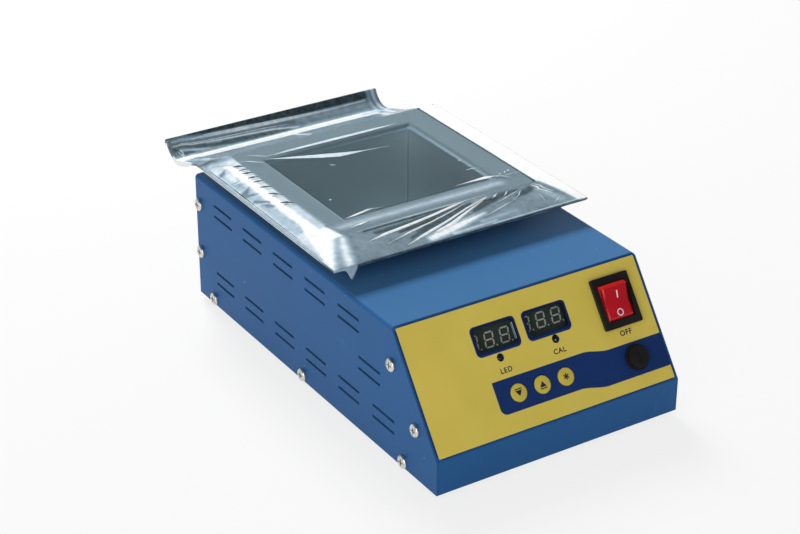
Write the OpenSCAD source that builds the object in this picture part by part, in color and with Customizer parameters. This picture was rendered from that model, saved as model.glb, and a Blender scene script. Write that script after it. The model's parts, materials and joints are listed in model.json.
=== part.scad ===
/* [Case] */
// Width of the case over its side walls
case_w = 165; // [160:1:180]
// Length of the case along the bench
case_l = 272.5; // [268:0.5:285]
// Length that the slope takes up at the front, as seen from above
slope_run = 46; // [42:0.5:50]
// Height of the case without its feet
case_h = 82.5; // [81:0.5:90]
// Height of the upright lip below the slope
lip_h = 20.7; // [17:0.1:23]
// Thickness of the painted sheet steel
sheet_t = 1.2; // [1:0.1:1.4]
// Outer radius of the folded top edges
fold_r = 2.4; // [2:0.1:4]
// Gap left all round where one panel drops in beside another
panel_gap = 0.15; // [0.1:0.05:0.3]
// Width of the turned-in flanges of the front, rear and base panels
flange_w = 17; // [15:0.5:18]

/* [Louvre slots] */
// Length of one slot
slot_l = 22.7; // [18:0.1:25]
// Height of one slot
slot_h = 1.7; // [1:0.1:3]
// Distance from one pair of slots to the next
slot_pitch = 36.8; // [34:0.1:37]
// Distance between the two slots of a pair
slot_gap = 7.3; // [5:0.1:9]
// Distance from the rear edge to the first pair
slot_rear = 23.4; // [20:0.1:26]
// Height of the upper row, at its top slot
slot_z_high = 70.5; // [68:0.5:73]
// Height of the short middle row, at its top slot
slot_z_mid = 47.5; // [42:0.5:52]
// Height of the lower row, at its top slot
slot_z_low = 24; // [20:0.5:28]
// Pairs of slots in the upper row
slot_n_high = 5; // [3:1:5]
// Pairs of slots in the lower row
slot_n_low = 6; // [3:1:6]
// Distance from the rear edge to the middle pair
slot_mid_rear = 192.6; // [185:0.1:195]

/* [Screws and feet] */
// Thread diameter of the case screws
screw_d = 4; // [3:0.5:4]
// Diameter of their pan heads
head_d = 8; // [6.5:0.1:8]
// Height of their pan heads
head_h = 2.3; // [1.8:0.1:2.4]
// Length of the case screws under the head
screw_l = 7; // [5:0.5:8]
// Diameter of a rubber foot
foot_d = 16; // [12:0.5:20]
// Height of a rubber foot
foot_h = 4; // [3:0.5:6]
// Distance of the feet from the middle of the case, sideways
foot_x = 60; // [50:1:64]
// Distance of the feet from the rear and front edges of the case
foot_end = 22; // [18:1:30]

/* [Solder bath] */
// Inside width of the titanium pot
pot_w = 102.4; // [98:0.2:104]
// Inside length of the pot, front to rear
pot_l = 92; // [88:0.5:94]
// Inside depth of the pot below its rim
pot_deep = 60; // [54:0.5:61]
// Wall thickness of the pot
pot_t = 1.5; // [1.2:0.1:2]
// Width of the flange around the mouth of the pot
pot_flange = 18.5; // [17:0.1:20]
// Radius of the bend from the wall to the flange, on its upper side
pot_bend = 3; // [2.2:0.1:3.5]
// Distance from the rear of the case to the rear wall of the pot, inside
pot_rear = 35.5; // [34:0.1:38]
// Height of the rim of the pot above the top of the case
rim_up = 15.2; // [13:0.1:20]

/* [Splash plate] */
// Width of the stainless splash plate
plate_w = 173.2; // [168:0.2:180]
// Distance of its front edge from the rear of the case
plate_front = 175; // [171:0.5:180]
// Distance of its rear edge, where the gutter starts, from the rear of the case
plate_rear = 10.5; // [8:0.5:12]
// Thickness of the stainless sheet
plate_t = 1.5; // [1:0.1:2]
// Fall of the rim below the middle of the plate
plate_fall = 1.7; // [1:0.1:3]
// How far the flat middle reaches past the pot flange
plate_flat = 2; // [1:0.1:4]
// Reach of the rear gutter behind the case
gutter_reach = 30.3; // [26:0.1:34]
// Depth of the gutter below the rim of the plate
gutter_deep = 7.8; // [6:0.1:8.5]
// Radius of the gutter's upturned lip
gutter_r = 13; // [11:0.1:14]
// Width by which the gutter is cut back at the right-hand end
gutter_cut = 20.6; // [0:0.1:30]
// Thickness of the clear protective film laid over the plate
film_t = 0.3; // [0.2:0.05:0.6]
// Side and length overlap of the film past the pot flange
film_w = 172.4; // [160:0.2:173]

/* [Heating] */
// Thickness of one mica plate heater
heater_t = 3.5; // [3:0.1:4]
// Height of the side heaters
heater_h = 34; // [28:1:38]
// Thickness of the ceramic fibre around the heaters
fibre_t = 9; // [8:0.5:9.5]
// Thickness of the steel heat shield and of the strap
shield_t = 1; // [0.8:0.1:1.2]
// Diameter of the thermocouple sheath
probe_d = 4; // [3:0.1:5]

/* [Front panel fittings] */
// Width of a display window
window_w = 29.5; // [26:0.1:30]
// Height of a display window
window_h = 16.2; // [14:0.1:16.5]
// Distance between the two windows, middle to middle
window_pitch = 34.4; // [33:0.1:36]
// Sideways place of the left window's middle
window_x = -22.9; // [-25:0.1:-21]
// Distance of the windows' middle below the top of the slope
window_s = 21.7; // [20:0.1:22]
// Depth of the digits behind the surface of the slope
display_sunk = 6.4; // [3:0.1:7]
// Diameter of the indicator lamp
led_d = 4.4; // [3:0.1:5]
// Diameter of a key
key_d = 10.2; // [9:0.1:12]
// Distance from key to key
key_pitch = 16; // [15:0.1:17]
// Sideways place of the middle key
key_x = -4.6; // [-6:0.1:-3]
// Distance of the keys below the top of the slope
key_s = 55.2; // [54:0.1:57]
// Travel of a key
key_travel = 0.6; // [0.3:0.05:0.8]
// Width of the mains switch's frame
switch_w = 25.7; // [25:0.1:28]
// Height of the mains switch's frame
switch_h = 30.2; // [29.6:0.1:32]
// Sideways place of the mains switch
switch_x = 58.5; // [57:0.1:60]
// Distance of the mains switch below the top of the slope
switch_s = 23.8; // [23:0.1:25]
// Tilt of the rocker to each side of its middle
rocker_tilt = 9; // [8:0.5:12]
// Diameter of the fuse holder's knob
fuse_d = 15.2; // [14.6:0.1:16]
// Sideways place of the fuse holder
fuse_x = 59.8; // [58:0.1:62]
// Distance of the fuse holder below the top of the slope
fuse_s = 57.7; // [57:0.1:59]
// Thickness of the printed front label
label_t = 0.4; // [0.2:0.1:0.8]
// Corner radius of the label
label_r = 3; // [1:0.5:5]
// Bare rim left above and below the label
label_rim = 1; // [0.5:0.1:3]

/* [Mains entry] */
// Bore of the cord gland
cord_bore = 6.6; // [5:0.1:7]
// Thread diameter of the cord gland
gland_d = 12.4; // [11:0.1:13]
// Sideways place of the gland
gland_x = -52; // [-56:1:-46]
// Height of the gland's middle
gland_z = 13.4; // [12.5:0.1:14.5]

/* [Hidden] */

// Colours of the finishes
blue = "#3C6191";
steel = "#B9C0C4";
titanium = "#8D9AA0";
zinc = "#C9CCC8";
black = "#17181A";
board_green = "#1F6B3A";
amber_mica = "#B58E52";
label_yellow = "#C3B04A";

// Small fasteners, M3
small_d = 3;
small_hole = small_d + 0.3;
small_head_d = 5.6;
small_head_h = 1.8;
small_l = 5;
small_nut_across = 5.5;
small_nut_t = 2.4;
standoff_d = 5.6;

// Case geometry
eps = 0.01;
top_l = case_l - slope_run;
slope_a = atan2(case_h - lip_h, slope_run);
slope_l = norm([case_h - lip_h, slope_run]);
inner_w = case_w - 2 * sheet_t;
panel_w = inner_w - 2 * panel_gap;
top_under = case_h - sheet_t;
middle_y = (case_l - gutter_reach) / 2;

// Pot, plate and heater stack, measured in the case frame
pot_y = -(pot_rear + pot_l / 2);
plate_top = rim_up - pot_t;
plate_under = plate_top - plate_t;
rim_top = plate_top - plate_fall;
flange_x = pot_w / 2 + pot_flange;
flange_y = pot_l / 2 + pot_flange;
pot_floor = case_h + rim_up - pot_deep;
fit = 0.2;
heater_x = pot_w / 2 + pot_t + fit;
heater_y = pot_l / 2 + pot_t + fit;
strap_x = heater_x + heater_t;
strap_y = heater_y + heater_t;
fibre_x = strap_x + shield_t + fit;
fibre_y = strap_y + shield_t + fit;
shield_x = fibre_x + fibre_t;
shield_y = fibre_y + fibre_t;
heater_top = top_under - 6;
fibre_top = top_under - 5;
fibre_floor = pot_floor - pot_t - heater_t - 2 * fit;
shield_floor = fibre_floor - fibre_t;
shield_lip = 6;
vent_margin = 0.4;
stud_d = 4;
bath_hole_x = strap_x + shield_t + vent_margin;
bath_hole_y = strap_y + shield_t + vent_margin;
stud_x = (bath_hole_x + shield_x) / 2;
stud_y = (bath_hole_y + shield_y) / 2;
stud_spots = [for (sx = [-1, 1], sy = [-1, 1]) [sx * stud_x, pot_y + sy * stud_y]];
spacer_d = 8;
probe_z = pot_floor + 14;

strap_z = probe_z + 8;
strap_h = 12;
tab_w = 3;
tab_h = 2;
stud_nut_t = 3;
probe_out = 15;
probe_nut_t = 3;
foot_web = 1.5;

// Vents in the base and the rear panel
vent_pitch = 10;
vent_w = 2.4;
vent_l = 48;
rear_slot_pitch = 24;
rear_slot_l = 18;
rear_slot_gap = 7;
rear_slot_z = 44;
rear_slot_low_z = 14;

// Rear gutter, as a side outline
gutter_tip_z = rim_top + 0.3;
gutter_mid_z = rim_top - gutter_deep + gutter_r;
gutter_lip_a = acos((gutter_mid_z - gutter_tip_z) / gutter_r);
gutter_mid_y = gutter_reach - (gutter_r + plate_t) * sin(gutter_lip_a);
gutter_in_a = 17.5;

// Front panel fittings, in the slope's own frame
window_t = 1.4;
display_w = 31.6;
window_r = 2.4;
board_depth = 12;
board_t = 1.6;
board_x0 = window_x - window_w / 2 - 10;
board_x1 = window_x + window_pitch + window_w / 2 + 8;
board_s0 = 7.5;
board_s1 = 68;
board_spots = [
    for (x = [board_x0 + 4, board_x1 - 4], s = [board_s0 + 3.6, board_s1 - 3.6]) [x, s]
];
led_x = window_x - 1.4;
led_s = window_s + window_h / 2 + 3.95;
trimmer_x = window_x + window_pitch + 1.7;
trimmer_s = led_s - 0.3;
trimmer_hole = 5;
trimmer_d = 4;
trimmer_w = 9.2;
trimmer_h = 5;
tact_w = 6;
tact_h = 3.5;
key_collar_t = 1;
key_stem_d = 3.4;
hole_gap = 0.3;
bezel_t = 2.2;
rocker_w = 18.4;
rocker_r = 10.5;
rocker_mid = 2;
rocker_pivot = label_t + bezel_t - rocker_mid;
rocker_pin = 2;
rocker_pin_l = 1.1;
rocker_below = 4.5;
tab_out = 8;
tab_out_w = 4.8;
tab_out_t = 0.8;
switch_body_w = 22;
switch_body_h = 28;
switch_deep = 18;
fuse_thread = 12;
fuse_deep = 34;
fuse_head_t = 1.6;
fuse_knob_h = 2;
fuse_bore = 8.6;
fuse_pin = 3.2;
fuse_groove_d = 1.4;
fuse_nut_t = 4;
carrier_l = 8;
cartridge_d = 5.2;
cartridge_l = 20;
run_gap = 0.05;
film_gap = 0.3;

// Inside the front of the case
power_x0 = -68;
power_x1 = 18;
power_l = 66;
power_y1 = 9.6 - top_l;
power_y0 = power_y1 + power_l;
power_stand = 7;
power_z = sheet_t + power_stand;
power_inset = 4;
block_inset = 2;
core_w = 40;
core_l = 30;
core_inset = 10;
core_h = 33;
way_pitch = 8;
way_l = 10;
way_h = 11;
sink_w = 20;
sink_l = 28;
sink_back = 3;
triac_w = 10;
triac_t = 4.6;
triac_h = 15;
ribbon_x = board_x0 + 14;
ribbon_w = 14;

// Cord gland
gland_flange = 17;
gland_in = 8;
gland_hex_t = 5;
gland_neck = 7;
gland_dome = 5;
gland_nut_t = 4;

// Puts a shape that is drawn in the case frame (rear face at y = 0, case bottom at z = 0) on its feet
module placed() translate([0, middle_y, foot_h]) children();

// Extrudes a side outline (y, z) evenly to both sides of x = 0
module along_x(w) translate([-w / 2, 0, 0]) rotate([90, 0, 90]) linear_extrude(w) children();

// Extrudes a front outline (x, z) from y0 towards the front
module along_y(y0, l) translate([0, y0, 0]) rotate([90, 0, 0]) linear_extrude(l) children();

// Places a fitting on the slope: x sideways, s down the slope, z outwards
module on_slope(x, s)
    translate([x, -top_l - s * cos(slope_a), case_h - s * sin(slope_a)]) rotate([slope_a, 0, 0]) children();

// A block given by its two corners
module block(a, b) translate(a) cube(b - a);

module plain_bore(d, z0, z1) translate([0, 0, z0]) cylinder(d = d, h = z1 - z0, $fn = 48);

module tube(d_out, d_in, h) difference() {
    cylinder(d = d_out, h = h, $fn = 48);
    plain_bore(d_in, -1, h + 1);
}

// Pan head screw along z: head above z = 0, shank below, with a cross recess
module pan_screw(d, l, hd, hh) {
    soft = hh / 2;
    difference() {
        rotate_extrude($fn = 40) union() {
            square([hd / 2 - soft, hh]);
            square([hd / 2, hh - soft]);
            intersection() {
                translate([hd / 2 - soft, hh - soft]) circle(soft, $fn = 32);
                square([hd, hh]);
            }
        }
        for (a = [0, 90]) rotate([0, 0, a]) translate([-hd * 0.27, -hd * 0.05, hh * 0.45])
            cube([hd * 0.54, hd * 0.1, hh]);
    }
    translate([0, 0, -l]) cylinder(d = d - 2 * run_gap, h = l + eps, $fn = 32);
}

module hex_nut(d, across, h) difference() {
    cylinder(d = across / cos(30), h = h, $fn = 6);
    plain_bore(d, -1, h + 1);
}

// Side outline of the case, grown inwards by d on the slope and the lip
function slope_y(d, z) = -top_l + d * sin(slope_a) - (case_h - d * cos(slope_a) - z) / tan(slope_a);
function corner_z(d) =
    case_h - d * cos(slope_a) - (case_l - d - top_l + d * sin(slope_a)) * tan(slope_a);

module case_outline() polygon([
    [0, 0], [0, case_h], [-top_l, case_h], [-case_l, lip_h], [-case_l, 0]
]);

module round_top(w, h, r) {
    translate([-w / 2, 0]) square([w, h - r]);
    translate([r - w / 2, 0]) square([w - 2 * r, h]);
    for (s = [-1, 1]) translate([s * (w / 2 - r), h - r]) circle(r, $fn = 48);
}

// Centres of the case screws on one side wall, as [y, z]
base_flange_z = 4.5;
rear_screw_y = -4.6 - sheet_t / 3;
side_screws_front = [
    [slope_y(12.3, 60), 60], [slope_y(10, 31.2), 31.2]
];
side_screws_rear = [[rear_screw_y, 63.8], [rear_screw_y, 31]];
side_screws_base = [for (y = [-20.5, -(case_l - 12) / 2, 32.5 - case_l]) [y, base_flange_z]];
side_screws = concat(side_screws_front, side_screws_rear, side_screws_base);

module side_holes(spots, d) for (p = spots)
    translate([-case_w, p[0], p[1]]) rotate([0, 90, 0]) cylinder(d = d, h = 2 * case_w, $fn = 32);

module slot_pair(y, z) for (dz = [0, slot_gap])
    translate([-case_w, y - slot_l, z - dz - slot_h / 2]) cube([2 * case_w, slot_l, slot_h]);

module cover_shell() color(blue) difference() {
    intersection() {
        along_y(0, case_l) difference() {
            round_top(case_w, case_h, fold_r);
            round_top(inner_w, top_under, fold_r - sheet_t);
        }
        along_x(case_w) case_outline();
    }
    for (i = [0:slot_n_high - 1]) slot_pair(-slot_rear - i * slot_pitch, slot_z_high);
    for (i = [0:slot_n_low - 1]) slot_pair(-slot_rear - i * slot_pitch, slot_z_low);
    slot_pair(-slot_mid_rear, slot_z_mid);
    side_holes(side_screws, screw_d + hole_gap);
    block([-bath_hole_x, pot_y - bath_hole_y, case_h - 10], [bath_hole_x, pot_y + bath_hole_y, case_h + 1]);
    for (p = stud_spots) translate([p[0], p[1], 0]) plain_bore(stud_d + hole_gap, case_h - 10, case_h + 1);
    for (p = shield_spots) translate([p[0], p[1], 0]) plain_bore(small_hole, case_h - 10, case_h + 1);
}

// Rounds the top corners of a drop-in panel to the inside of the cover's folds
module under_folds() intersection() {
    along_y(0, case_l) round_top(panel_w, top_under - panel_gap, fold_r - sheet_t);
    children();
}

module front_panel() color(blue) {
    z1 = top_under - panel_gap;
    z0 = sheet_t + panel_gap;
    under_folds() difference() {
        union() {
            along_x(panel_w) {
                polygon([
                    [slope_y(0, z1), z1], [-case_l, corner_z(0)], [-case_l, 0],
                    [sheet_t - case_l, 0], [sheet_t - case_l, corner_z(sheet_t)], [slope_y(sheet_t, z1), z1]
                ]);
                translate([slope_y(sheet_t, z1) - eps, z1 - sheet_t]) square([12, sheet_t]);
                translate([sheet_t - case_l - eps, z0]) square([14, sheet_t]);
            }
            for (s = [-1, 1]) translate([s * (panel_w - sheet_t) / 2, 0, 0]) along_x(sheet_t) polygon([
                [slope_y(sheet_t / 2, z1), z1], [sheet_t / 2 - case_l, corner_z(sheet_t / 2)],
                [sheet_t / 2 - case_l, 12], [flange_w - case_l, 12],
                [flange_w - case_l, corner_z(flange_w)],
                [slope_y(flange_w, z1 - 6), z1 - 6], [slope_y(flange_w, z1 - 6), z1]
            ]);
        }
        front_cutouts();
        side_holes(side_screws_front, screw_d);
        for (p = base_front_spots) translate([p[0], p[1], 0]) plain_bore(small_d, -1, 6);
    }
}

// Everything that is cut through the panel and the label
module front_cutouts() {
    for (i = [0, 1]) on_slope(window_x + i * window_pitch, window_s)
        rounded_slab(window_w, window_h, 10, window_r, -5);
    on_slope(led_x, led_s) plain_bore(led_d + hole_gap, -5, 5);
    on_slope(trimmer_x, trimmer_s) plain_bore(trimmer_hole, -5, 5);
    for (i = [-1:1]) on_slope(key_x + i * key_pitch, key_s) plain_bore(key_d + 2 * hole_gap, -5, 5);
    on_slope(switch_x, switch_s)
        block([-switch_body_w / 2 - 0.1, -switch_body_h / 2 - 0.1, -5],
              [switch_body_w / 2 + 0.1, switch_body_h / 2 + 0.1, 5]);
    on_slope(fuse_x, fuse_s) plain_bore(fuse_thread + hole_gap, -5, 5);
}

// One slot of the rear panel, in column i at height z
module rear_slot(i, z)
    block([i * rear_slot_pitch - rear_slot_l / 2, -5, z - slot_h / 2],
          [i * rear_slot_pitch + rear_slot_l / 2, 1, z + slot_h / 2]);

rear_top_fold = 10;
rear_fold = 12;

module rear_panel() color(blue) difference() {
    z1 = top_under - panel_gap;
    under_folds() union() {
        block([-panel_w / 2, -sheet_t, 0], [panel_w / 2, 0, z1]);
        block([-panel_w / 2, -rear_top_fold, z1 - sheet_t], [panel_w / 2, -eps, z1]);
        block([-panel_w / 2, -rear_fold, sheet_t + panel_gap], [panel_w / 2, -eps, 2 * sheet_t + panel_gap]);
        for (s = [-1, 1]) translate([s * (panel_w - sheet_t) / 2, 0, 0])
            block([-sheet_t / 2, -rear_fold, rear_fold], [sheet_t / 2, -eps, z1]);
    }
    side_holes(side_screws_rear, screw_d);
    translate([gland_x, 1, gland_z]) rotate([90, 0, 0]) cylinder(d = gland_d + hole_gap, h = 5, $fn = 48);
    for (i = [-2:2], j = [0:3]) rear_slot(i, rear_slot_z + j * rear_slot_gap);
    for (i = [0:2], j = [0, 1]) rear_slot(i, rear_slot_low_z + j * rear_slot_gap);
    for (p = base_rear_spots) translate([p[0], p[1], 0]) plain_bore(small_d, -1, 6);
}

base_front_x = 55;
base_front_in = 8;
base_rear_x0 = -22;
base_rear_x1 = 60;
base_rear_in = 7;
base_fold_h = 9;
base_fold_rear = 14;
base_fold_front = 18;
base_front_spots = [for (x = [-base_front_x, base_front_x]) [x, base_front_in - case_l]];
base_rear_spots = [for (x = [base_rear_x0, base_rear_x1]) [x, -base_rear_in]];
foot_spots = [for (x = [-foot_x, foot_x], y = [-foot_end, foot_end - case_l]) [x, y]];
earth_spot = [66, pot_y - shield_y - 12];
power_spots = [
    for (x = [power_x0 + power_inset, power_x1 - power_inset],
         y = [power_y0 - power_inset, power_y1 + power_inset]) [x, y]
];

module base_plate() color(blue) difference() {
    union() {
        block([-panel_w / 2, sheet_t + panel_gap - case_l, 0], [panel_w / 2, -sheet_t - panel_gap, sheet_t]);
        for (s = [-1, 1]) translate([s * (panel_w - sheet_t) / 2, 0, 0])
            block([-sheet_t / 2, base_fold_front - case_l, 0], [sheet_t / 2, -base_fold_rear, base_fold_h]);
    }
    side_holes(side_screws_base, screw_d);
    for (p = concat(foot_spots, base_front_spots, base_rear_spots))
        translate([p[0], p[1], 0]) plain_bore(small_hole, -1, 5);
    for (p = power_spots) translate([p[0], p[1], 0]) plain_bore(small_d, -1, 5);
    translate([earth_spot[0], earth_spot[1], 0]) plain_bore(stud_d, -1, 5);
    for (i = [-4:4]) translate([i * vent_pitch, pot_y, 0])
        block([-vent_w / 2, -vent_l / 2, -1], [vent_w / 2, vent_l / 2, 5]);
}

module cover_screws() color(zinc) for (s = [-1, 1], p = side_screws)
    translate([s * case_w / 2, p[0], p[1]]) rotate([0, s * 90, 0])
        pan_screw(screw_d, screw_l, head_d, head_h);

module base_screws() color(zinc) for (p = concat(base_front_spots, base_rear_spots))
    translate([p[0], p[1], 0]) mirror([0, 0, 1]) pan_screw(small_d, small_l, small_head_d, small_head_h);

module feet() color(black) for (p = foot_spots) translate([p[0], p[1], -foot_h]) difference() {
    cylinder(d = foot_d, h = foot_h, $fn = 48);
    plain_bore(small_hole, -1, foot_h + 1);
    plain_bore(small_head_d + 1.4, -1, foot_h - foot_web);
}

module foot_screws() color(zinc) for (p = foot_spots) translate([p[0], p[1], -foot_web]) mirror([0, 0, 1])
    pan_screw(small_d, foot_web + sheet_t + small_nut_t + 0.6, small_head_d, 1.4);

module foot_nuts() color(zinc) for (p = foot_spots) translate([p[0], p[1], sheet_t])
    hex_nut(small_d, small_nut_across, small_nut_t);

// Half width of the flared pot wall, as an outline that is as wide as the flare at its top
module flared(half, z0, z1, r) {
    translate([-half, z0]) square([2 * half, z1 - z0]);
    difference() {
        translate([-half - r, z1 - r]) square([2 * (half + r), r]);
        for (s = [-1, 1]) translate([s * (half + r), z1 - r]) circle(r, $fn = 64);
    }
}

module pot_form(wx, wy, z0, z1, r) intersection() {
    along_y(wy + r + 1, 2 * (wy + r + 1)) flared(wx, z0, z1, r);
    along_x(2 * (wx + r + 1)) flared(wy, z0, z1, r);
}

module solder_pot() color(titanium) translate([0, pot_y, case_h]) {
    difference() {
        union() {
            rounded_slab(2 * flange_x, 2 * flange_y, pot_t, 3, plate_top);
            pot_form(pot_w / 2 + pot_t, pot_l / 2 + pot_t, rim_up - pot_deep - pot_t, plate_top + eps,
                     pot_bend - pot_t);
        }
        pot_form(pot_w / 2, pot_l / 2, rim_up - pot_deep, rim_up, pot_bend);
        block([-pot_w / 2 - pot_bend, -pot_l / 2 - pot_bend, rim_up],
              [pot_w / 2 + pot_bend, pot_l / 2 + pot_bend, rim_up + 1]);
    }
    for (sx = [-1, 1], sy = [-1, 1]) translate([sx * stud_x, sy * stud_y, -sheet_t - 4])
        cylinder(d = stud_d, h = plate_top + sheet_t + 4 + eps, $fn = 32);
}

module rounded_slab(w, l, t, r, z) translate([0, 0, z]) linear_extrude(t) {
    square([w - 2 * r, l], center = true);
    square([w, l - 2 * r], center = true);
    for (sx = [-1, 1], sy = [-1, 1]) translate([sx * (w / 2 - r), sy * (l / 2 - r)]) circle(r, $fn = 32);
}

// The hipped middle of the splash plate, filled from z0 up
module hip(z_rim, z_flat, foot) hull() {
    block([-plate_w / 2, -plate_front, z_rim - foot], [plate_w / 2, -plate_rear, z_rim]);
    block([-flange_x - plate_flat, pot_y - flange_y - plate_flat, z_flat - eps],
          [flange_x + plate_flat, pot_y + flange_y + plate_flat, z_flat]);
}

module gutter_outline() {
    r = gutter_r;
    arc = [for (i = [0:12]) -gutter_in_a + (gutter_lip_a + gutter_in_a) * i / 12];
    inside = [for (a = arc) [gutter_mid_y + r * sin(a), gutter_mid_z - r * cos(a)]];
    under = [for (a = arc) [gutter_mid_y + (r + plate_t) * sin(a), gutter_mid_z - (r + plate_t) * cos(a)]];
    polygon(concat(
        [[-plate_rear - eps, rim_top]], inside,
        [for (i = [12:-1:0]) under[i]],
        [[-plate_rear - eps, rim_top - plate_t]]
    ));
}

module splash_plate() color(steel) translate([0, 0, case_h]) difference() {
    union() {
        difference() {
            hip(rim_top, plate_top, plate_t);
            translate([0, 0, -plate_t]) hip(rim_top, plate_top, plate_t + 1);
        }
        translate([-gutter_cut / 2, 0, 0]) along_x(plate_w - gutter_cut) gutter_outline();
    }
    mouth_x = pot_w / 2 + pot_bend + 0.5;
    mouth_y = pot_l / 2 + pot_bend + 0.5;
    block([-mouth_x, pot_y - mouth_y, 0], [mouth_x, pot_y + mouth_y, rim_up + 1]);
    for (p = stud_spots) translate([p[0], p[1], 0]) plain_bore(stud_d + hole_gap, 0, rim_up);
}

module plate_spacers() color(zinc) for (p = stud_spots)
    translate([p[0], p[1], case_h]) tube(spacer_d, stud_d + hole_gap, plate_under);

module flange_nuts() color(zinc) for (p = stud_spots)
    translate([p[0], p[1], top_under - stud_nut_t]) hex_nut(stud_d + 2 * run_gap, 6.4, stud_nut_t);

module protective_film() color([0.9, 0.95, 1, 0.35]) translate([0, 0, case_h + rim_up + film_gap]) {
    short = (plate_w - film_w) / 2;
    block([-film_w / 2, short - plate_front, 0], [film_w / 2, -plate_rear - short, film_t]);
}

module heater_plate(w, h) difference() {
    translate([-w / 2, 0, 0]) cube([w, heater_t, h]);
    for (s = [-1, 1]) translate([s * w / 4, -1, h - 0.15 * h]) cube([tab_w, heater_t + 2, tab_h]);
}

heater_z = heater_top - heater_h;
module heater_left() color(amber_mica) translate([-heater_x, pot_y, heater_z]) rotate([0, 0, 90])
    heater_plate(pot_l - 4, heater_h);
module heater_right() color(amber_mica) translate([heater_x, pot_y, heater_z]) rotate([0, 0, -90])
    heater_plate(pot_l - 4, heater_h);
module heater_rear() color(amber_mica) translate([0, pot_y + heater_y, heater_z])
    heater_plate(pot_w - 4, heater_h);
module heater_front() color(amber_mica) difference() {
    translate([0, pot_y - heater_y, heater_z]) rotate([0, 0, 180]) heater_plate(pot_w - 4, heater_h);
    probe_hole(2);
}
module heater_bottom() color(amber_mica) difference() {
    block([-pot_w / 2 + 4, pot_y - pot_l / 2 + 4, fibre_floor + fit],
          [pot_w / 2 - 4, pot_y + pot_l / 2 - 4, fibre_floor + fit + heater_t]);
    for (s = [-1, 1]) translate([s * pot_w / 5, pot_y, 0]) plain_bore(screw_d, fibre_floor - 1, pot_floor);
}

// A hole along y for the thermocouple sheath
module probe_hole(gap) translate([0, pot_y - pot_l / 2 - pot_t + 1, probe_z]) rotate([90, 0, 0])
    cylinder(d = probe_d + gap, h = shield_y + 30 - pot_l / 2, $fn = 32);

module heater_strap() color(steel) difference() {
    block([-strap_x - shield_t, pot_y - strap_y - shield_t, strap_z],
          [strap_x + shield_t, pot_y + strap_y + shield_t, strap_z + strap_h]);
    block([-strap_x, pot_y - strap_y, strap_z - 1], [strap_x, pot_y + strap_y, strap_z + strap_h + 1]);
}

module fibre_lining() color("#E6E2D6") difference() {
    block([0.1 - shield_x, pot_y - shield_y + 0.1, shield_floor],
          [shield_x - 0.1, pot_y + shield_y - 0.1, fibre_top]);
    block([-fibre_x, pot_y - fibre_y, fibre_floor], [fibre_x, pot_y + fibre_y, fibre_top + 1]);
    probe_hole(0.6);
}

shield_spots = [
    for (sx = [-1, 1], sy = [-1, 1]) [sx * (shield_x + shield_lip / 2 + 0.6), pot_y + sy * shield_y / 2]
];

module heat_shield() color(steel) difference() {
    union() {
        block([-shield_x - shield_t, pot_y - shield_y - shield_t, shield_floor - shield_t],
              [shield_x + shield_t, pot_y + shield_y + shield_t, top_under]);
        block([-shield_x - shield_lip, pot_y - shield_y - shield_t, top_under - shield_t],
              [shield_x + shield_lip, pot_y + shield_y + shield_t, top_under]);
    }
    block([-shield_x, pot_y - shield_y, shield_floor], [shield_x, pot_y + shield_y, top_under + 1]);
    probe_hole(0.6);
    for (p = shield_spots) translate([p[0], p[1], 0]) plain_bore(small_d, top_under - 4, top_under + 1);
}

module shield_screws() color(zinc) for (p = shield_spots) translate([p[0], p[1], case_h])
    pan_screw(small_d, small_l, small_head_d, small_head_h);

module thermocouple() color(steel) translate([0, pot_y - heater_y + fit - 0.1, probe_z]) rotate([90, 0, 0]) {
    to_shield = shield_y - pot_l / 2 - pot_t + shield_t;
    cylinder(d = probe_d, h = to_shield + probe_out, $fn = 32);
    translate([0, 0, to_shield + probe_nut_t + 1.2]) cylinder(d = 2 * probe_d, h = probe_out / 3, $fn = 32);
}

module thermocouple_nut() color(zinc) translate([0, pot_y - shield_y - shield_t, probe_z]) rotate([90, 0, 0])
    hex_nut(probe_d + 2 * run_gap, 2 * probe_d, probe_nut_t);

module front_label() color(label_yellow) difference() {
    on_slope(0, slope_l / 2)
        rounded_slab(panel_w, slope_l - 2 * label_rim, label_t, label_r, 0);
    front_cutouts();
}

module window(i) color("#1B2338") on_slope(window_x + i * window_pitch, window_s) {
    rounded_slab(window_w - 0.2, window_h - 0.2, window_t, window_r - 0.1, label_t - window_t);
}
module window_left() window(0);
module window_right() window(1);

module display(i) color(black) on_slope(window_x + i * window_pitch, window_s)
    block([-display_w / 2, -window_h / 2, -board_depth], [display_w / 2, window_h / 2, -display_sunk]);
module display_left() display(0);
module display_right() display(1);

module indicator_led() color("#5E1A1A") on_slope(led_x, led_s) {
    translate([0, 0, -board_depth]) cylinder(d = led_d, h = board_depth - led_d / 2, $fn = 32);
    translate([0, 0, -led_d / 2]) sphere(d = led_d, $fn = 32);
}

module trimmer_body() color("#2450A8") on_slope(trimmer_x, trimmer_s) difference() {
    block([-trimmer_w / 2, -trimmer_w / 2, -board_depth],
          [trimmer_w / 2, trimmer_w / 2 - 1.4, -board_depth + trimmer_h]);
    plain_bore(trimmer_d, -board_depth + 1, 0);
}

module trimmer_rotor() color(zinc) on_slope(trimmer_x, trimmer_s) difference() {
    translate([0, 0, -board_depth + 1.2])
        cylinder(d = trimmer_d - 2 * run_gap, h = board_depth - 1.6, $fn = 40);
    block([-trimmer_d / 10, -trimmer_d, -1.4], [trimmer_d / 10, trimmer_d, 1]);
}

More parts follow.
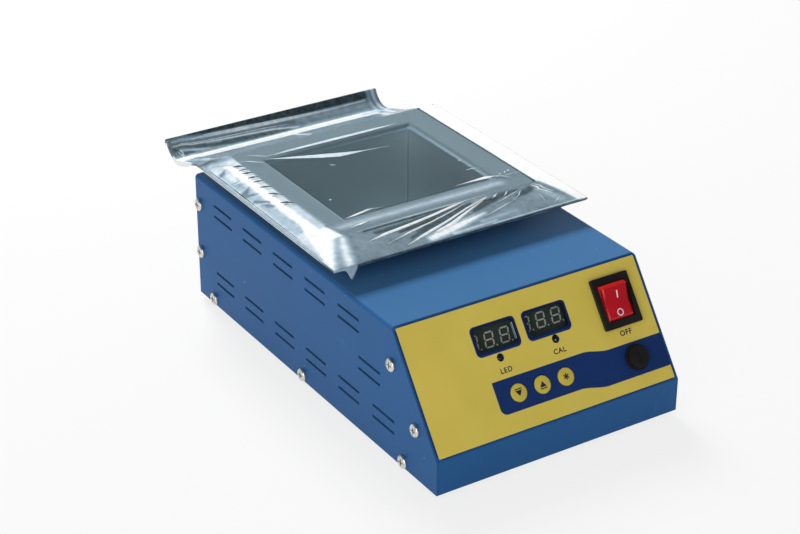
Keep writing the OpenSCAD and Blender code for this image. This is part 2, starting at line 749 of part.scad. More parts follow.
key_stem_z = -board_depth + tact_h + key_travel + 0.2;
module key_cap(i) color(label_yellow) on_slope(key_x + i * key_pitch, key_s) {
    translate([0, 0, -sheet_t - 0.2]) cylinder(d = key_d, h = sheet_t + label_t + 0.7, $fn = 48);
    translate([0, 0, -sheet_t - 0.2 - key_collar_t]) cylinder(d = key_d + 2, h = key_collar_t, $fn = 48);
    translate([0, 0, key_stem_z])
        cylinder(d = key_stem_d, h = -sheet_t - key_collar_t - key_stem_z, $fn = 24);
}
module key_down() key_cap(-1);
module key_up() key_cap(0);
module key_set() key_cap(1);

module key_switches() color(black) for (i = [-1:1]) on_slope(key_x + i * key_pitch, key_s)
    block([-tact_w / 2, -tact_w / 2, -board_depth], [tact_w / 2, tact_w / 2, -board_depth + tact_h]);

module control_board() color(board_green) difference() {
    on_slope(0, 0) block([board_x0, -board_s1, -board_depth - board_t], [board_x1, -board_s0, -board_depth]);
    for (p = board_spots) on_slope(p[0], p[1]) plain_bore(small_hole, -board_depth - 5, 0);
}

module board_standoffs() color(zinc) for (p = board_spots) on_slope(p[0], p[1])
    translate([0, 0, -board_depth]) tube(standoff_d, small_d, board_depth - sheet_t);

module board_screws() color(zinc) for (p = board_spots) on_slope(p[0], p[1])
    translate([0, 0, -board_depth - board_t]) mirror([0, 0, 1])
        pan_screw(small_d, small_l, small_head_d, small_head_h);

module switch_housing() color(black) on_slope(switch_x, switch_s) difference() {
    union() {
        rounded_slab(switch_w, switch_h, bezel_t, 1, label_t);
        block([-switch_body_w / 2, -switch_body_h / 2, -switch_deep],
              [switch_body_w / 2, switch_body_h / 2, label_t + eps]);
    }
    block([-rocker_w / 2 - 0.3, -rocker_r - 0.3, rocker_pivot - rocker_r - 0.3],
          [rocker_w / 2 + 0.3, rocker_r + 0.3, 5]);
    translate([0, 0, rocker_pivot]) rotate([0, 90, 0])
        cylinder(d = rocker_pin + 2 * run_gap, h = rocker_w + 2 * rocker_pin_l + 0.4, center = true, $fn = 32);
}

// The rocker in its middle place, as a side outline around its pivot
module rocker_outline() intersection() {
    circle(rocker_r, $fn = 64);
    polygon([
        [-rocker_r, rocker_mid + rocker_r * tan(rocker_tilt)], [0, rocker_mid],
        [rocker_r, rocker_mid + rocker_r * tan(rocker_tilt)],
        [rocker_r, -rocker_below], [-rocker_r, -rocker_below]
    ]);
}

module switch_rocker() color("#B41A28") on_slope(switch_x, switch_s) translate([0, 0, rocker_pivot]) {
    rotate([rocker_tilt, 0, 0]) along_x(rocker_w) rocker_outline();
    for (s = [-1, 1]) translate([s * (rocker_w + rocker_pin_l) / 2, 0, 0]) rotate([0, 90, 0])
        cylinder(d = rocker_pin, h = rocker_pin_l + 2 * eps, center = true, $fn = 32);
}

module switch_terminals() color("#B8963E") on_slope(switch_x, switch_s) for (i = [-1:1])
    block([-tab_out_w / 2, i * tab_out - tab_out_t / 2, -switch_deep - tab_out],
          [tab_out_w / 2, i * tab_out + tab_out_t / 2, -switch_deep]);

module fuse_holder() color(black) on_slope(fuse_x, fuse_s) difference() {
    union() {
        translate([0, 0, label_t]) cylinder(d = fuse_d, h = fuse_head_t, $fn = 48);
        translate([0, 0, -fuse_deep]) cylinder(d = fuse_thread, h = fuse_deep + label_t + eps, $fn = 48);
    }
    plain_bore(fuse_bore, -fuse_deep + 3, 5);
}

module fuse_nut() color(black) on_slope(fuse_x, fuse_s) translate([0, 0, -sheet_t - fuse_nut_t])
    hex_nut(fuse_thread + 2 * run_gap, fuse_d - 0.2, fuse_nut_t);

module fuse_carrier() color(black) on_slope(fuse_x, fuse_s) {
    difference() {
        translate([0, 0, -carrier_l])
            cylinder(d = fuse_bore - 2 * run_gap, h = carrier_l + label_t + fuse_head_t, $fn = 40);
        plain_bore(cartridge_d + 2 * run_gap, -carrier_l - 1, -2);
    }
    translate([0, 0, label_t + fuse_head_t - eps]) cylinder(d = fuse_pin, h = fuse_knob_h / 2, $fn = 32);
}

module fuse_cartridge() color("#D8DDE0") on_slope(fuse_x, fuse_s)
    translate([0, 0, -2.2 - cartridge_l]) cylinder(d = cartridge_d, h = cartridge_l, $fn = 32);

module fuse_knob() color(black) on_slope(fuse_x, fuse_s) difference() {
    translate([0, 0, label_t + fuse_head_t + 0.1]) cylinder(d = fuse_d - 2.4, h = fuse_knob_h, $fn = 48);
    plain_bore(fuse_pin + 2 * run_gap, 0, label_t + fuse_head_t + fuse_knob_h / 2 + 0.2);
    block([-0.6, -4, label_t + fuse_head_t + fuse_knob_h - 0.5], [0.6, 4, 20]);
    for (i = [0:11]) rotate([0, 0, 30 * i]) translate([fuse_d / 2 - 1.2, 0, 0])
        plain_bore(fuse_groove_d, 0, label_t + fuse_head_t + fuse_knob_h - 0.8);
}

module power_board() color(board_green) difference() {
    block([power_x0, power_y1, power_z], [power_x1, power_y0, power_z + board_t]);
    for (p = power_spots) translate([p[0], p[1], 0]) plain_bore(small_hole, power_z - 1, power_z + 3);
}

module power_standoffs() color(zinc) for (p = power_spots) translate([p[0], p[1], 0]) {
    cylinder(d = small_d - 2 * run_gap, h = power_z + board_t + eps, $fn = 32);
    translate([0, 0, sheet_t]) cylinder(d = standoff_d, h = power_z - sheet_t, $fn = 32);
    translate([0, 0, power_z + board_t]) cylinder(d = standoff_d, h = small_head_h, $fn = 32);
}

power_top = power_z + board_t;
block_spot = [power_x0 + core_inset + block_inset, power_y1 + block_inset, power_top];
transformer_spot = [
    power_x0 + core_inset + core_w / 2, block_spot[1] + way_l + block_inset + core_l / 2, power_top
];
module transformer() color("#C9A24A") translate(transformer_spot) union() {
    block([-core_w / 2, -core_l / 2, 0], [core_w / 2, core_l / 2, core_h / 5]);
    block([-core_w / 2, -core_l / 4, 0], [core_w / 2, core_l / 4, core_h]);
    block([-core_w / 3, -core_l / 2 + 1, core_h / 5 + 1], [core_w / 3, core_l / 2 - 1, core_h * 0.8]);
}

module terminal_block() color("#2F7D4F") translate(block_spot) difference() {
    cube([5 * way_pitch, way_l, way_h]);
    for (i = [0:4]) translate([(i + 0.5) * way_pitch, way_l / 2, 0])
        plain_bore(way_pitch / 2, way_h / 2, way_h + 1);
}

// Where the triac stands against its heatsink
sink_spot = [power_x1 - sink_w - 10, power_y0 - 40, power_top];

module heatsink() color("#8F9499") translate(sink_spot) difference() {
    block([0, -sink_l / 2, 0], [sink_w, sink_l / 2, sink_l]);
    for (i = [0:5]) translate([sink_back, (i - 2.5) * sink_l / 6, 0])
        block([0, -sink_l / 24, sink_back], [sink_w, sink_l / 24, sink_l + 1]);
}

module triac() color(black) translate(sink_spot) {
    lead_l = 4;
    block([-triac_t, -triac_w / 2, lead_l], [-eps, triac_w / 2, lead_l + triac_h]);
    for (i = [-1:1]) translate([-triac_t / 2, i * triac_w / 4, 0])
        block([-triac_t / 10, -triac_w / 25, 0], [triac_t / 10, triac_w / 25, lead_l + eps]);
}

// A bent strip of thickness t through the points, with round joints
module strip(points, t) {
    for (i = [0:len(points) - 2]) {
        d = points[i + 1] - points[i];
        translate(points[i]) rotate(atan2(d[1], d[0])) translate([0, -t / 2]) square([norm(d), t]);
    }
    for (i = [1:len(points) - 2]) translate(points[i]) circle(d = t, $fn = 32);
}

// Flat cable from the back of the control board down to the power board
module ribbon_cable() color("#8A8F96") {
    s = board_s1 - 6;
    back = board_depth + board_t;
    into = [sin(slope_a), -cos(slope_a)];
    start = [-top_l, case_h] - s * [cos(slope_a), sin(slope_a)] + back * into;
    bend = start + 5 * into;
    drop_y = power_y1 + block_inset / 2;
    translate([ribbon_x, 0, 0]) along_x(ribbon_w)
        strip([start, bend, [drop_y - 4, bend[1] + 3], [drop_y, bend[1]], [drop_y, power_top]], 1);
}

module earth_stud() color(zinc) translate([earth_spot[0], earth_spot[1], 0]) {
    cylinder(d = stud_d - 2 * run_gap, h = 3.5 * stud_d, $fn = 32);
    for (z = [0, 1.5 * stud_nut_t]) translate([0, 0, sheet_t + z])
        cylinder(d = 2 * stud_d, h = stud_nut_t, $fn = 6);
}

// The cord gland, along y with its outer end behind the case
module at_gland() translate([gland_x, 0, gland_z]) rotate([-90, 0, 0]) children();

module gland_body() color(black) at_gland() difference() {
    union() {
        translate([0, 0, -sheet_t - gland_in]) cylinder(d = gland_d, h = sheet_t + gland_in + eps, $fn = 48);
        cylinder(d = gland_flange / cos(30), h = gland_hex_t, $fn = 6);
        translate([0, 0, gland_hex_t - eps]) cylinder(d = gland_d, h = gland_neck, $fn = 48);
    }
    plain_bore(cord_bore + 2, -20, 20);
}

module gland_cap() color(black) at_gland() difference() {
    union() {
        translate([0, 0, gland_hex_t + 0.2]) cylinder(d = gland_flange / cos(30), h = gland_in, $fn = 6);
        translate([0, 0, gland_hex_t + gland_in]) rotate_extrude($fn = 48) polygon([
            [0, 0], [gland_flange / 2, 0], [gland_flange / 2 - 1, 3],
            [gland_flange / 2 - 4, gland_dome], [0, gland_dome]
        ]);
    }
    plain_bore(gland_d + 2 * run_gap, gland_hex_t, gland_hex_t + gland_neck + 0.4);
    plain_bore(cord_bore + 2, 5, 20);
}

module gland_seal() color("#3A3D40") at_gland() translate([0, 0, 1])
    tube(cord_bore + 2 - 2 * run_gap, cord_bore, 16);

module gland_locknut() color(black) at_gland() translate([0, 0, -sheet_t - gland_nut_t])
    hex_nut(gland_d + 2 * run_gap, gland_flange, gland_nut_t);

placed() cover_shell();
placed() front_panel();
placed() rear_panel();
placed() base_plate();
placed() cover_screws();
placed() base_screws();
placed() feet();
placed() foot_screws();
placed() foot_nuts();
placed() solder_pot();
placed() splash_plate();
placed() plate_spacers();
placed() flange_nuts();
placed() protective_film();
placed() heater_left();
placed() heater_right();
placed() heater_front();
placed() heater_rear();
placed() heater_bottom();
placed() heater_strap();
placed() fibre_lining();
placed() heat_shield();
placed() shield_screws();
placed() thermocouple();
placed() thermocouple_nut();
placed() front_label();
placed() window_left();
placed() window_right();
placed() display_left();
placed() display_right();
placed() indicator_led();
placed() trimmer_body();
placed() trimmer_rotor();
placed() key_down();
placed() key_up();
placed() key_set();
placed() key_switches();
placed() control_board();
placed() board_standoffs();
placed() board_screws();
placed() switch_housing();
placed() switch_rocker();
placed() switch_terminals();
placed() fuse_holder();
placed() fuse_nut();
placed() fuse_carrier();
placed() fuse_cartridge();
placed() fuse_knob();
placed() power_board();
placed() power_standoffs();
placed() transformer();
placed() triac();
placed() heatsink();
placed() terminal_block();
placed() ribbon_cable();
placed() earth_stud();
placed() gland_body();
placed() gland_cap();
placed() gland_seal();
placed() gland_locknut();
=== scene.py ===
import json
import math

import bmesh
import bpy
import numpy as np
from mathutils import Matrix, Vector


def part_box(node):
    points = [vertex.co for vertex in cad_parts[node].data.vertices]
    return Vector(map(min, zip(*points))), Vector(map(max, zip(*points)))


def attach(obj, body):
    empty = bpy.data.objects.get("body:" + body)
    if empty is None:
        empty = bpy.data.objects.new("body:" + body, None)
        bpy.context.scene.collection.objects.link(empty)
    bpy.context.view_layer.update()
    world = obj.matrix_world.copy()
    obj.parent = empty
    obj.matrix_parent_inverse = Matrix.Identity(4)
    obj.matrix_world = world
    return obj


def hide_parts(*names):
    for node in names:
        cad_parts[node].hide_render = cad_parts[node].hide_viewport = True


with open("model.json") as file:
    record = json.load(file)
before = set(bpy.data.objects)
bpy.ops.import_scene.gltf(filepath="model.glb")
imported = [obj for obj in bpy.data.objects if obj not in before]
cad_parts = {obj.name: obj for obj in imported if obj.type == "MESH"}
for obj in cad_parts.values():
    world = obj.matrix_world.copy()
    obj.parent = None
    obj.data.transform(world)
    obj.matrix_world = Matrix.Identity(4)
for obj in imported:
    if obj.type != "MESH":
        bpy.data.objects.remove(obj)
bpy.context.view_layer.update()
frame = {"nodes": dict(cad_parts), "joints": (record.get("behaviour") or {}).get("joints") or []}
nodes = frame["nodes"]
bpy.ops.object.select_all(action="DESELECT")

# The camera stands in front of the solder pot, to its left and above it. It is turned a touch
# about its own axis, as a camera held in the hand is.
turn = math.radians(-32.5656)
rise = math.radians(27.8931)
roll = math.radians(0.1495)
back = Vector((math.sin(turn) * math.cos(rise), -math.cos(turn) * math.cos(rise), math.sin(rise)))
level = Vector((0, 0, 1)).cross(back).normalized()
upward = back.cross(level)
right_side = math.cos(roll) * level + math.sin(roll) * upward
top_side = math.cos(roll) * upward - math.sin(roll) * level
stand = Matrix((right_side, top_side, back)).transposed().to_4x4()
stand.translation = (-0.5904, -0.9096, 0.6264)
bpy.ops.object.camera_add()
camera = bpy.context.object
camera.matrix_world = stand
camera.data.sensor_width = 36
camera.data.lens = 91.9
bpy.context.scene.camera = camera
bpy.context.scene.view_settings.view_transform = "Standard"


# The bench top is a plain white sheet. It shows white to the camera and in polished metal, and
# keeps the soft shadow of the pot.
class Value:
    """A socket of a material, so that shader maths reads as plain expressions."""

    def __init__(self, tree, socket):
        self.tree = tree
        self.socket = socket

    def node(self, kind, fed=None, out=0, **settings):
        """Adds a node of that kind: its settings first, then the values or links of its sockets."""
        made = self.tree.nodes.new("ShaderNode" + kind)
        for name, setting in settings.items():
            if name == "stops":
                fit_ramp(made.color_ramp, setting)
            else:
                setattr(made, name, setting)
        for name, given in (fed or {}).items():
            if isinstance(given, Value):
                self.tree.links.new(given.socket, made.inputs[name])
            else:
                made.inputs[name].default_value = given
        return Value(self.tree, made.outputs[out])

    def math(self, operation, *others):
        return self.node("Math", dict(enumerate((self, *others))), operation=operation)

    def vector(self, operation, *others, out=0):
        return self.node("VectorMath", dict(enumerate((self, *others))), out, operation=operation)

    def part(self, axis):
        return self.node("SeparateXYZ", {0: self}, axis)

    def clamp(self):
        return self.node("Clamp", {0: self})

    def blend(self, low, high):
        """The colour low where this is 0 and high where it is 1."""
        return self.node("Mix", {0: self, 6: low, 7: high}, 2, data_type="RGBA")

    def step(self, low, high):
        """0 up to low, 1 from high on, and smooth between them."""
        fed = {0: self, 1: low, 2: high}
        return self.node("MapRange", fed, interpolation_type="SMOOTHSTEP")

    def __add__(self, other):
        return self.math("ADD", other)

    __radd__ = __add__

    def __sub__(self, other):
        return self.math("SUBTRACT", other)

    def __rsub__(self, other):
        return self.node("Math", {0: other, 1: self}, operation="SUBTRACT")

    def __mul__(self, other):
        return self.math("MULTIPLY", other)

    __rmul__ = __mul__

    def __abs__(self):
        return self.math("ABSOLUTE")


def fit_ramp(ramp, stops):
    """Gives a colour ramp its stops, as (place, colour) pairs."""
    while len(ramp.elements) < len(stops):
        ramp.elements.new(1.0)
    for element, (place, colour) in zip(ramp.elements, stops):
        element.position = place
        element.color = colour


def grey(tone):
    return (tone, tone, tone, 1.0)


def bare_tree(owner):
    """The emptied node tree of a material or a world."""
    owner.use_nodes = True
    owner.node_tree.nodes.clear()
    return owner.node_tree


def put_out(value, kind):
    """Makes a value what its tree shows."""
    shown = value.tree.nodes.new("ShaderNodeOutput" + kind)
    value.tree.links.new(value.socket, shown.inputs[0])


def rays_of(tree):
    """Whether a ray is the camera's, is mirrored, or has gone through something."""
    rays = tree.nodes.new("ShaderNodeLightPath")
    return [Value(tree, rays.outputs[f"Is {kind} Ray"]) for kind in ("Camera", "Glossy", "Transmission")]


def finish_of(name, fixed, drawn):
    """A material. The fixed numbers sit on the shader's own sockets, and drawn(place) gives what
    changes over the surface, from the place in the object's own coordinates."""
    made = bpy.data.materials.new(name)
    tree = bare_tree(made)
    surface = tree.nodes.new("ShaderNodeBsdfPrincipled")
    put_out(Value(tree, surface.outputs[0]), "Material")
    place = Value(tree, tree.nodes.new("ShaderNodeTexCoord").outputs["Object"])
    for socket, amount in fixed.items():
        surface.inputs[socket].default_value = amount
    for socket, value in drawn(place).items():
        tree.links.new(value.socket, surface.inputs[socket])
    return made


bpy.ops.mesh.primitive_plane_add(size=8, location=(0, 0, 0))
bench = bpy.context.object
bench.name = "bench_top"
white_sheet = bpy.data.materials.new("white_sheet")
sheet_tree = bare_tree(white_sheet)
seen, mirrored, through = rays_of(sheet_tree)
matt = seen.node("BsdfDiffuse", {"Color": grey(0.7)})
plain = seen.node("Emission", {"Color": grey(1.0), "Strength": 1.0})
shown_plain = (seen + mirrored + through).clamp() * 0.8
sheet_mix = shown_plain.node("MixShader", {0: shown_plain, 1: matt, 2: plain})
put_out(sheet_mix, "Material")
bench.data.materials.append(white_sheet)

# The studio: an even pale surround that polished metal mirrors from white at the horizon to dark
# overhead, a soft lamp behind and above, and a large pale screen low at the front left.
world = bpy.data.worlds.new("studio")
bpy.context.scene.world = world
sky_tree = bare_tree(world)
sky_seen, sky_mirrored, sky_through = rays_of(sky_tree)
way = Value(sky_tree, sky_tree.nodes.new("ShaderNodeTexCoord").outputs["Generated"])
overhead = way.part(2).node(
    "ValToRGB",
    {0: way.part(2)},
    stops=[
        (0.0, grey(1.0)),
        (0.14, grey(0.92)),
        (0.34, (0.40, 0.45, 0.46, 1)),
        (0.56, (0.26, 0.31, 0.33, 1)),
        (0.80, (0.13, 0.17, 0.18, 1)),
        (1.0, (0.10, 0.13, 0.14, 1)),
    ],
)
ambient = 0.30
behind = 0.16 + way.part(1).step(-0.35, 0.45) * 0.84
mirrored_sky = behind.blend(grey(0.0), overhead)
surround = sky_mirrored.blend(grey(ambient), mirrored_sky)
surround = (sky_seen + sky_through).clamp().blend(surround, grey(1.0))
sky = surround.node("Background", {"Color": surround, "Strength": 1.0})
put_out(sky, "World")


def lamp(name, towards, distance, size, watts):
    """A square soft lamp that stands in the direction towards, and looks at the middle of the pot."""
    towards = Vector(towards).normalized()
    middle = Vector((0, 0, 0.06))
    bpy.ops.object.light_add(type="AREA", location=middle + towards * distance)
    made = bpy.context.object
    made.name = name
    made.data.shape = "SQUARE"
    made.data.size = size
    made.data.energy = watts
    made.rotation_euler = towards.to_track_quat("Z", "Y").to_euler()
    return made


lamp("lamp_behind", (0.10, 0.72, 0.69), 1.6, 0.45, 28).visible_glossy = False
lamp("screen_front", (-0.75, -0.62, 0.26), 1.7, 1.5, 17)

# The case: a bent cover over a base plate and two end panels, all of 1.2 mm steel sheet. The
# sheets are sprayed with a satin blue powder coat, with a fine orange peel and a few pale nicks.
MM = 0.001
TO_MM = 1000.0


def dress(finish, *names):
    """Gives these CAD nodes their finish."""
    for name in names:
        for slot in nodes[name].material_slots:
            slot.material = finish


def mottle(place, scale, detail=2.0, roughness=0.5):
    """Fine even noise; scale is in cycles per metre."""
    fed = {"Vector": place, "Scale": scale, "Detail": detail, "Roughness": roughness}
    return place.node("TexNoise", fed)


def bumped(height, strength, distance):
    return height.node("Bump", {"Height": height, "Strength": strength, "Distance": distance})


def look(body, rough, normal=None):
    """The colour and the roughness of a finish, and the bumps in it if there are any."""
    varied = {"Base Color": body, "Roughness": rough}
    return {**varied, "Normal": normal} if normal else varied


def drifting(scale, low, high, rough, spread, detail=2.0):
    """A plain surface: noise of that scale drifts its colour from low to high, and its roughness
    from rough up by spread."""
    def drawn(place):
        drift = mottle(place, scale, detail)
        return look(drift.blend(low, high), rough + drift * spread)

    return drawn


def powder_coat(place):
    drift = mottle(place, 14)
    peel = mottle(place, 700, 3.0)
    nicks = mottle(place, 420, 1.0).step(0.785, 0.81)
    # painted sheen: faces turned upward get a paler tint, standing in for the light they catch
    up = place.node("NewGeometry", {}, 1).part(2).step(0.75, 0.98)
    rubs = mottle(place.vector("MULTIPLY", (1.0, 0.12, 0.3)), 260, 4.0).step(0.62, 0.80)
    body = drift.blend((0.016, 0.100, 0.280, 1), (0.022, 0.120, 0.325, 1))
    body = (rubs * 0.25).blend(body, (0.07, 0.20, 0.44, 1))
    body = (nicks * 0.45).blend(body, (0.42, 0.55, 0.72, 1))
    # the painted sheen on faces turned upward
    body = (up * 0.066).blend(body, (0.52, 0.90, 0.98, 1))
    rough = 0.36 + drift * 0.10 + rubs * 0.10
    return look(body, rough, bumped(peel, 0.10, 0.0004))


blue_coat = finish_of("blue_powder_coat", {"Specular IOR Level": 0.12}, powder_coat)
dress(blue_coat, "cover_shell", "front_panel", "rear_panel", "base_plate")

# Screws, nuts, spacers and standoffs: bright nickel plate, with the fine swirl of the tumbling
# barrel and dull spots here and there.


def nickel(place):
    swirl = mottle(place, 900, 3.0)
    spots = mottle(place, 320).step(0.55, 0.75)
    body = spots.blend((0.66, 0.65, 0.62, 1), (0.40, 0.39, 0.37, 1))
    rough = 0.20 + swirl * 0.16 + spots * 0.16
    return look(body, rough, bumped(swirl, 0.15, 0.0002))


nickel_plate = finish_of("nickel_plate", {"Metallic": 1.0}, nickel)
dress(
    nickel_plate,
    "cover_screws", "base_screws", "board_screws", "foot_screws", "shield_screws", "flange_nuts",
    "foot_nuts", "plate_spacers", "board_standoffs", "power_standoffs", "earth_stud", "fuse_nut",
)

# The four feet are discs of black moulded rubber, dull and a little dusty.


def rubber(place):
    grain = mottle(place, 1500)
    dust = mottle(place, 160, 3.0).step(0.45, 0.75)
    body = (dust * 0.35).blend((0.012, 0.012, 0.013, 1), (0.10, 0.098, 0.092, 1))
    return look(body, 0.72 + dust * 0.2, bumped(grain, 0.2, 0.0002))


black_rubber = finish_of("black_rubber", {"Specular IOR Level": 0.35}, rubber)
dress(black_rubber, "feet", "gland_seal")

# Black moulded plastic: the mains gland, the switch housing, the fuse holder and the parts that
# carry the keys. The mould leaves a fine spark texture.


def moulded_black(place):
    spark = mottle(place, 2200)
    drift = mottle(place, 90)
    body = drift.blend((0.010, 0.010, 0.011, 1), (0.020, 0.020, 0.022, 1))
    return look(body, 0.34 + drift * 0.16, bumped(spark, 0.18, 0.00012))


black_plastic = finish_of("black_plastic", {"Specular IOR Level": 0.24}, moulded_black)
dress(
    black_plastic,
    "gland_body", "gland_cap", "gland_locknut", "switch_housing", "fuse_holder", "fuse_carrier",
    "key_switches", "triac",
)

# Inside the case: glass-fibre boards with green lacquer, an iron-cored transformer with a taped
# winding, an extruded aluminium heatsink, a green terminal block and a grey ribbon cable.


def lacquered_board(place):
    runs = place.node("TexBrick", {
        "Vector": place, "Scale": 90.0, "Mortar Size": 0.06,
        "Color1": grey(0.0), "Color2": grey(0.15), "Mortar": grey(1.0),
    })
    weave = mottle(place, 1200)
    copper = runs.part(0).step(0.5, 0.8)
    body = copper.blend((0.010, 0.120, 0.040, 1), (0.030, 0.230, 0.075, 1))
    return look(body, 0.28 + weave * 0.12, bumped(copper, 0.3, 0.0001))


def taped_core(place):
    laps = (place.part(1) * 900.0).math("SINE").step(-0.2, 0.6)
    wrap = place.part(2).step(0.0195, 0.0200) * (1 - place.part(2).step(0.0405, 0.0410))
    iron = laps.blend((0.055, 0.055, 0.06, 1), (0.13, 0.13, 0.135, 1))
    body = wrap.blend(iron, (0.62, 0.42, 0.06, 1))
    return {"Base Color": body, "Roughness": 0.45 + laps * 0.1, "Metallic": 0.7 - wrap * 0.7}


def drawn_aluminium(place):
    lines = mottle(place.vector("MULTIPLY", (9.0, 9.0, 0.4)), 300, 3.0)
    body = lines.blend((0.50, 0.51, 0.52, 1), (0.66, 0.67, 0.68, 1))
    return look(body, 0.32 + lines * 0.2, bumped(lines, 0.15, 0.0002))


def ribbed_cable(place):
    cores = (place.part(0) * 4950.0).math("SINE")
    body = cores.step(-1.0, 1.0).blend((0.20, 0.20, 0.215, 1), (0.34, 0.34, 0.36, 1))
    return look(body, 0.5 + cores * 0.05, bumped(cores, 0.5, 0.0003))


dress(finish_of("green_board", {}, lacquered_board), "control_board", "power_board")
dress(finish_of("taped_core", {}, taped_core), "transformer")
dress(finish_of("drawn_aluminium", {"Metallic": 1.0}, drawn_aluminium), "heatsink")
green_moulding = drifting(120, (0.020, 0.150, 0.055, 1), (0.030, 0.200, 0.075, 1), 0.4, 0.15)
dress(finish_of("green_moulding", {}, green_moulding), "terminal_block")
dress(finish_of("ribbed_cable", {}, ribbed_cable), "ribbon_cable")

# The bath: a pot welded up from 1.5 mm titanium, brushed along its length, with mica heaters
# strapped round it in a bed of ceramic fibre inside a steel shield.
bath_half_x = 0.0512
bath_half_y = 0.0460
bath_mid_y = 0.0396


def brushed(place, along, dark, light, rough):
    """Metal with the lines of an abrasive belt; along has small numbers where the lines run."""
    lines = mottle(place.vector("MULTIPLY", along), 240, 4.0, 0.6)
    cloud = mottle(place, 26, 3.0)
    scratches = mottle(place.vector("MULTIPLY", (0.05, 1.0, 1.0)), 900, 1.0).step(0.70, 0.74)
    body = (lines * 0.6 + cloud * 0.4).blend(dark, light)
    body = (scratches * 0.3).blend(body, grey(0.85))
    return look(body, rough + lines * 0.12 + cloud * 0.10, bumped(lines, 0.12, 0.0002))


def titanium(place):
    sheen = brushed(place, (0.06, 1.0, 1.0), (0.55, 0.71, 0.79, 1), (0.66, 0.83, 0.91, 1), 0.34)
    # painted light: the walls inside the bath get a paler colour than the flange, for the light they
    # reflect
    inside = 1 - place.part(2).step(0.094, 0.099)
    body = (inside * 0.42).blend(sheen["Base Color"], (0.86, 0.88, 0.84, 1))
    from_side = bath_half_x - abs(place.part(0))
    from_end = bath_half_y - abs(place.part(1) - bath_mid_y)
    corner = from_side.math("MAXIMUM", from_end)
    seam = 1 - corner.step(0.0005, 0.0010)
    # a painted highlight: a white band beside each welded corner inside the bath
    beside = corner.step(0.0008, 0.0012) * (1 - corner.step(0.0014, 0.0020))
    body = (inside * seam * 0.25).blend(body, (0.10, 0.12, 0.13, 1))
    sheen["Base Color"] = (inside * beside * 0.4).blend(body, (1.0, 1.0, 1.0, 1))
    return sheen


def mica(place):
    flakes = place.node("TexVoronoi", {"Vector": place, "Scale": 260.0}, 1)
    shade = flakes.part(0)
    body = shade.blend((0.30, 0.19, 0.09, 1), (0.48, 0.36, 0.20, 1))
    return look(body, 0.25 + shade * 0.2)


def fibre(place):
    tufts = mottle(place, 500, 6.0, 0.7)
    body = tufts.blend((0.62, 0.61, 0.57, 1), (0.86, 0.85, 0.81, 1))
    return look(body, 0.9 + tufts * 0.1, bumped(tufts, 0.8, 0.001))


dress(finish_of("brushed_titanium", {"Metallic": 1.0}, titanium), "solder_pot")
dress(finish_of("mica_sheet", {"Specular IOR Level": 0.6}, mica),
      "heater_left", "heater_right", "heater_front", "heater_rear", "heater_bottom")
dress(finish_of("ceramic_fibre", {}, fibre), "fibre_lining")
turned_brass = drifting(150, (0.66, 0.45, 0.17, 1), (0.40, 0.25, 0.10, 1), 0.22, 0.25, 3.0)
dress(finish_of("turned_brass", {"Metallic": 1.0}, turned_brass),
      "thermocouple_nut", "switch_terminals")

# The splash plate: one polished stainless sheet round the bath, dished down to its edges, and
# rolled at the back into a gutter for the scraps. The shield and the strap are of the same sheet.


def polished_steel(place):
    return brushed(place, (0.05, 1.0, 1.0), (0.54, 0.57, 0.58, 1), (0.68, 0.71, 0.72, 1), 0.18)


dress(finish_of("polished_stainless", {"Metallic": 1.0}, polished_steel),
      "splash_plate", "heat_shield", "heater_strap", "thermocouple")

# The front label: a printed polyester sheet, yellow with a dark blue band along the keys and the
# fuse. It lies on the slope of the front; on_slope gives a place on it in millimetres.
trimmer_axis = next(joint for joint in frame["joints"] if joint["name"] == "trimmer_turn")
outward = Vector(trimmer_axis["axis"]).normalized()
down = Vector((0, -outward.z, outward.y))
trimmer_x = 13.2
trimmer_s = 33.45
slope_top = Vector(trimmer_axis["pos_m"]) - Vector((trimmer_x * MM, 0, 0)) - down * trimmer_s * MM
label_face = 0.4
ink_out = 0.03
# the windows lie window_apart to either side of window_mid
window_mid = -5.7
window_apart = 17.2
window_s = 21.7
window_w = 29.5
window_h = 16.2


def on_slope(x, s, out=label_face):
    """A place on the front slope: x across, s down from its top edge, and out from the sheet."""
    return slope_top + Vector((x, 0, 0)) * MM + down * s * MM + outward * out * MM


def slope_places(place):
    """The same x and s, in millimetres, for a material."""
    x = place.part(0) * TO_MM
    s = place.vector("DOT_PRODUCT", tuple(down), out=1) * TO_MM - slope_top.dot(down) * TO_MM
    return x, s


def past_corner(across, along):
    """The distance from a rounded corner's middle, from how far a place is past it both ways."""
    across = across.math("MAXIMUM", 0.0)
    along = along.math("MAXIMUM", 0.0)
    return (across * across + along * along).math("SQRT")


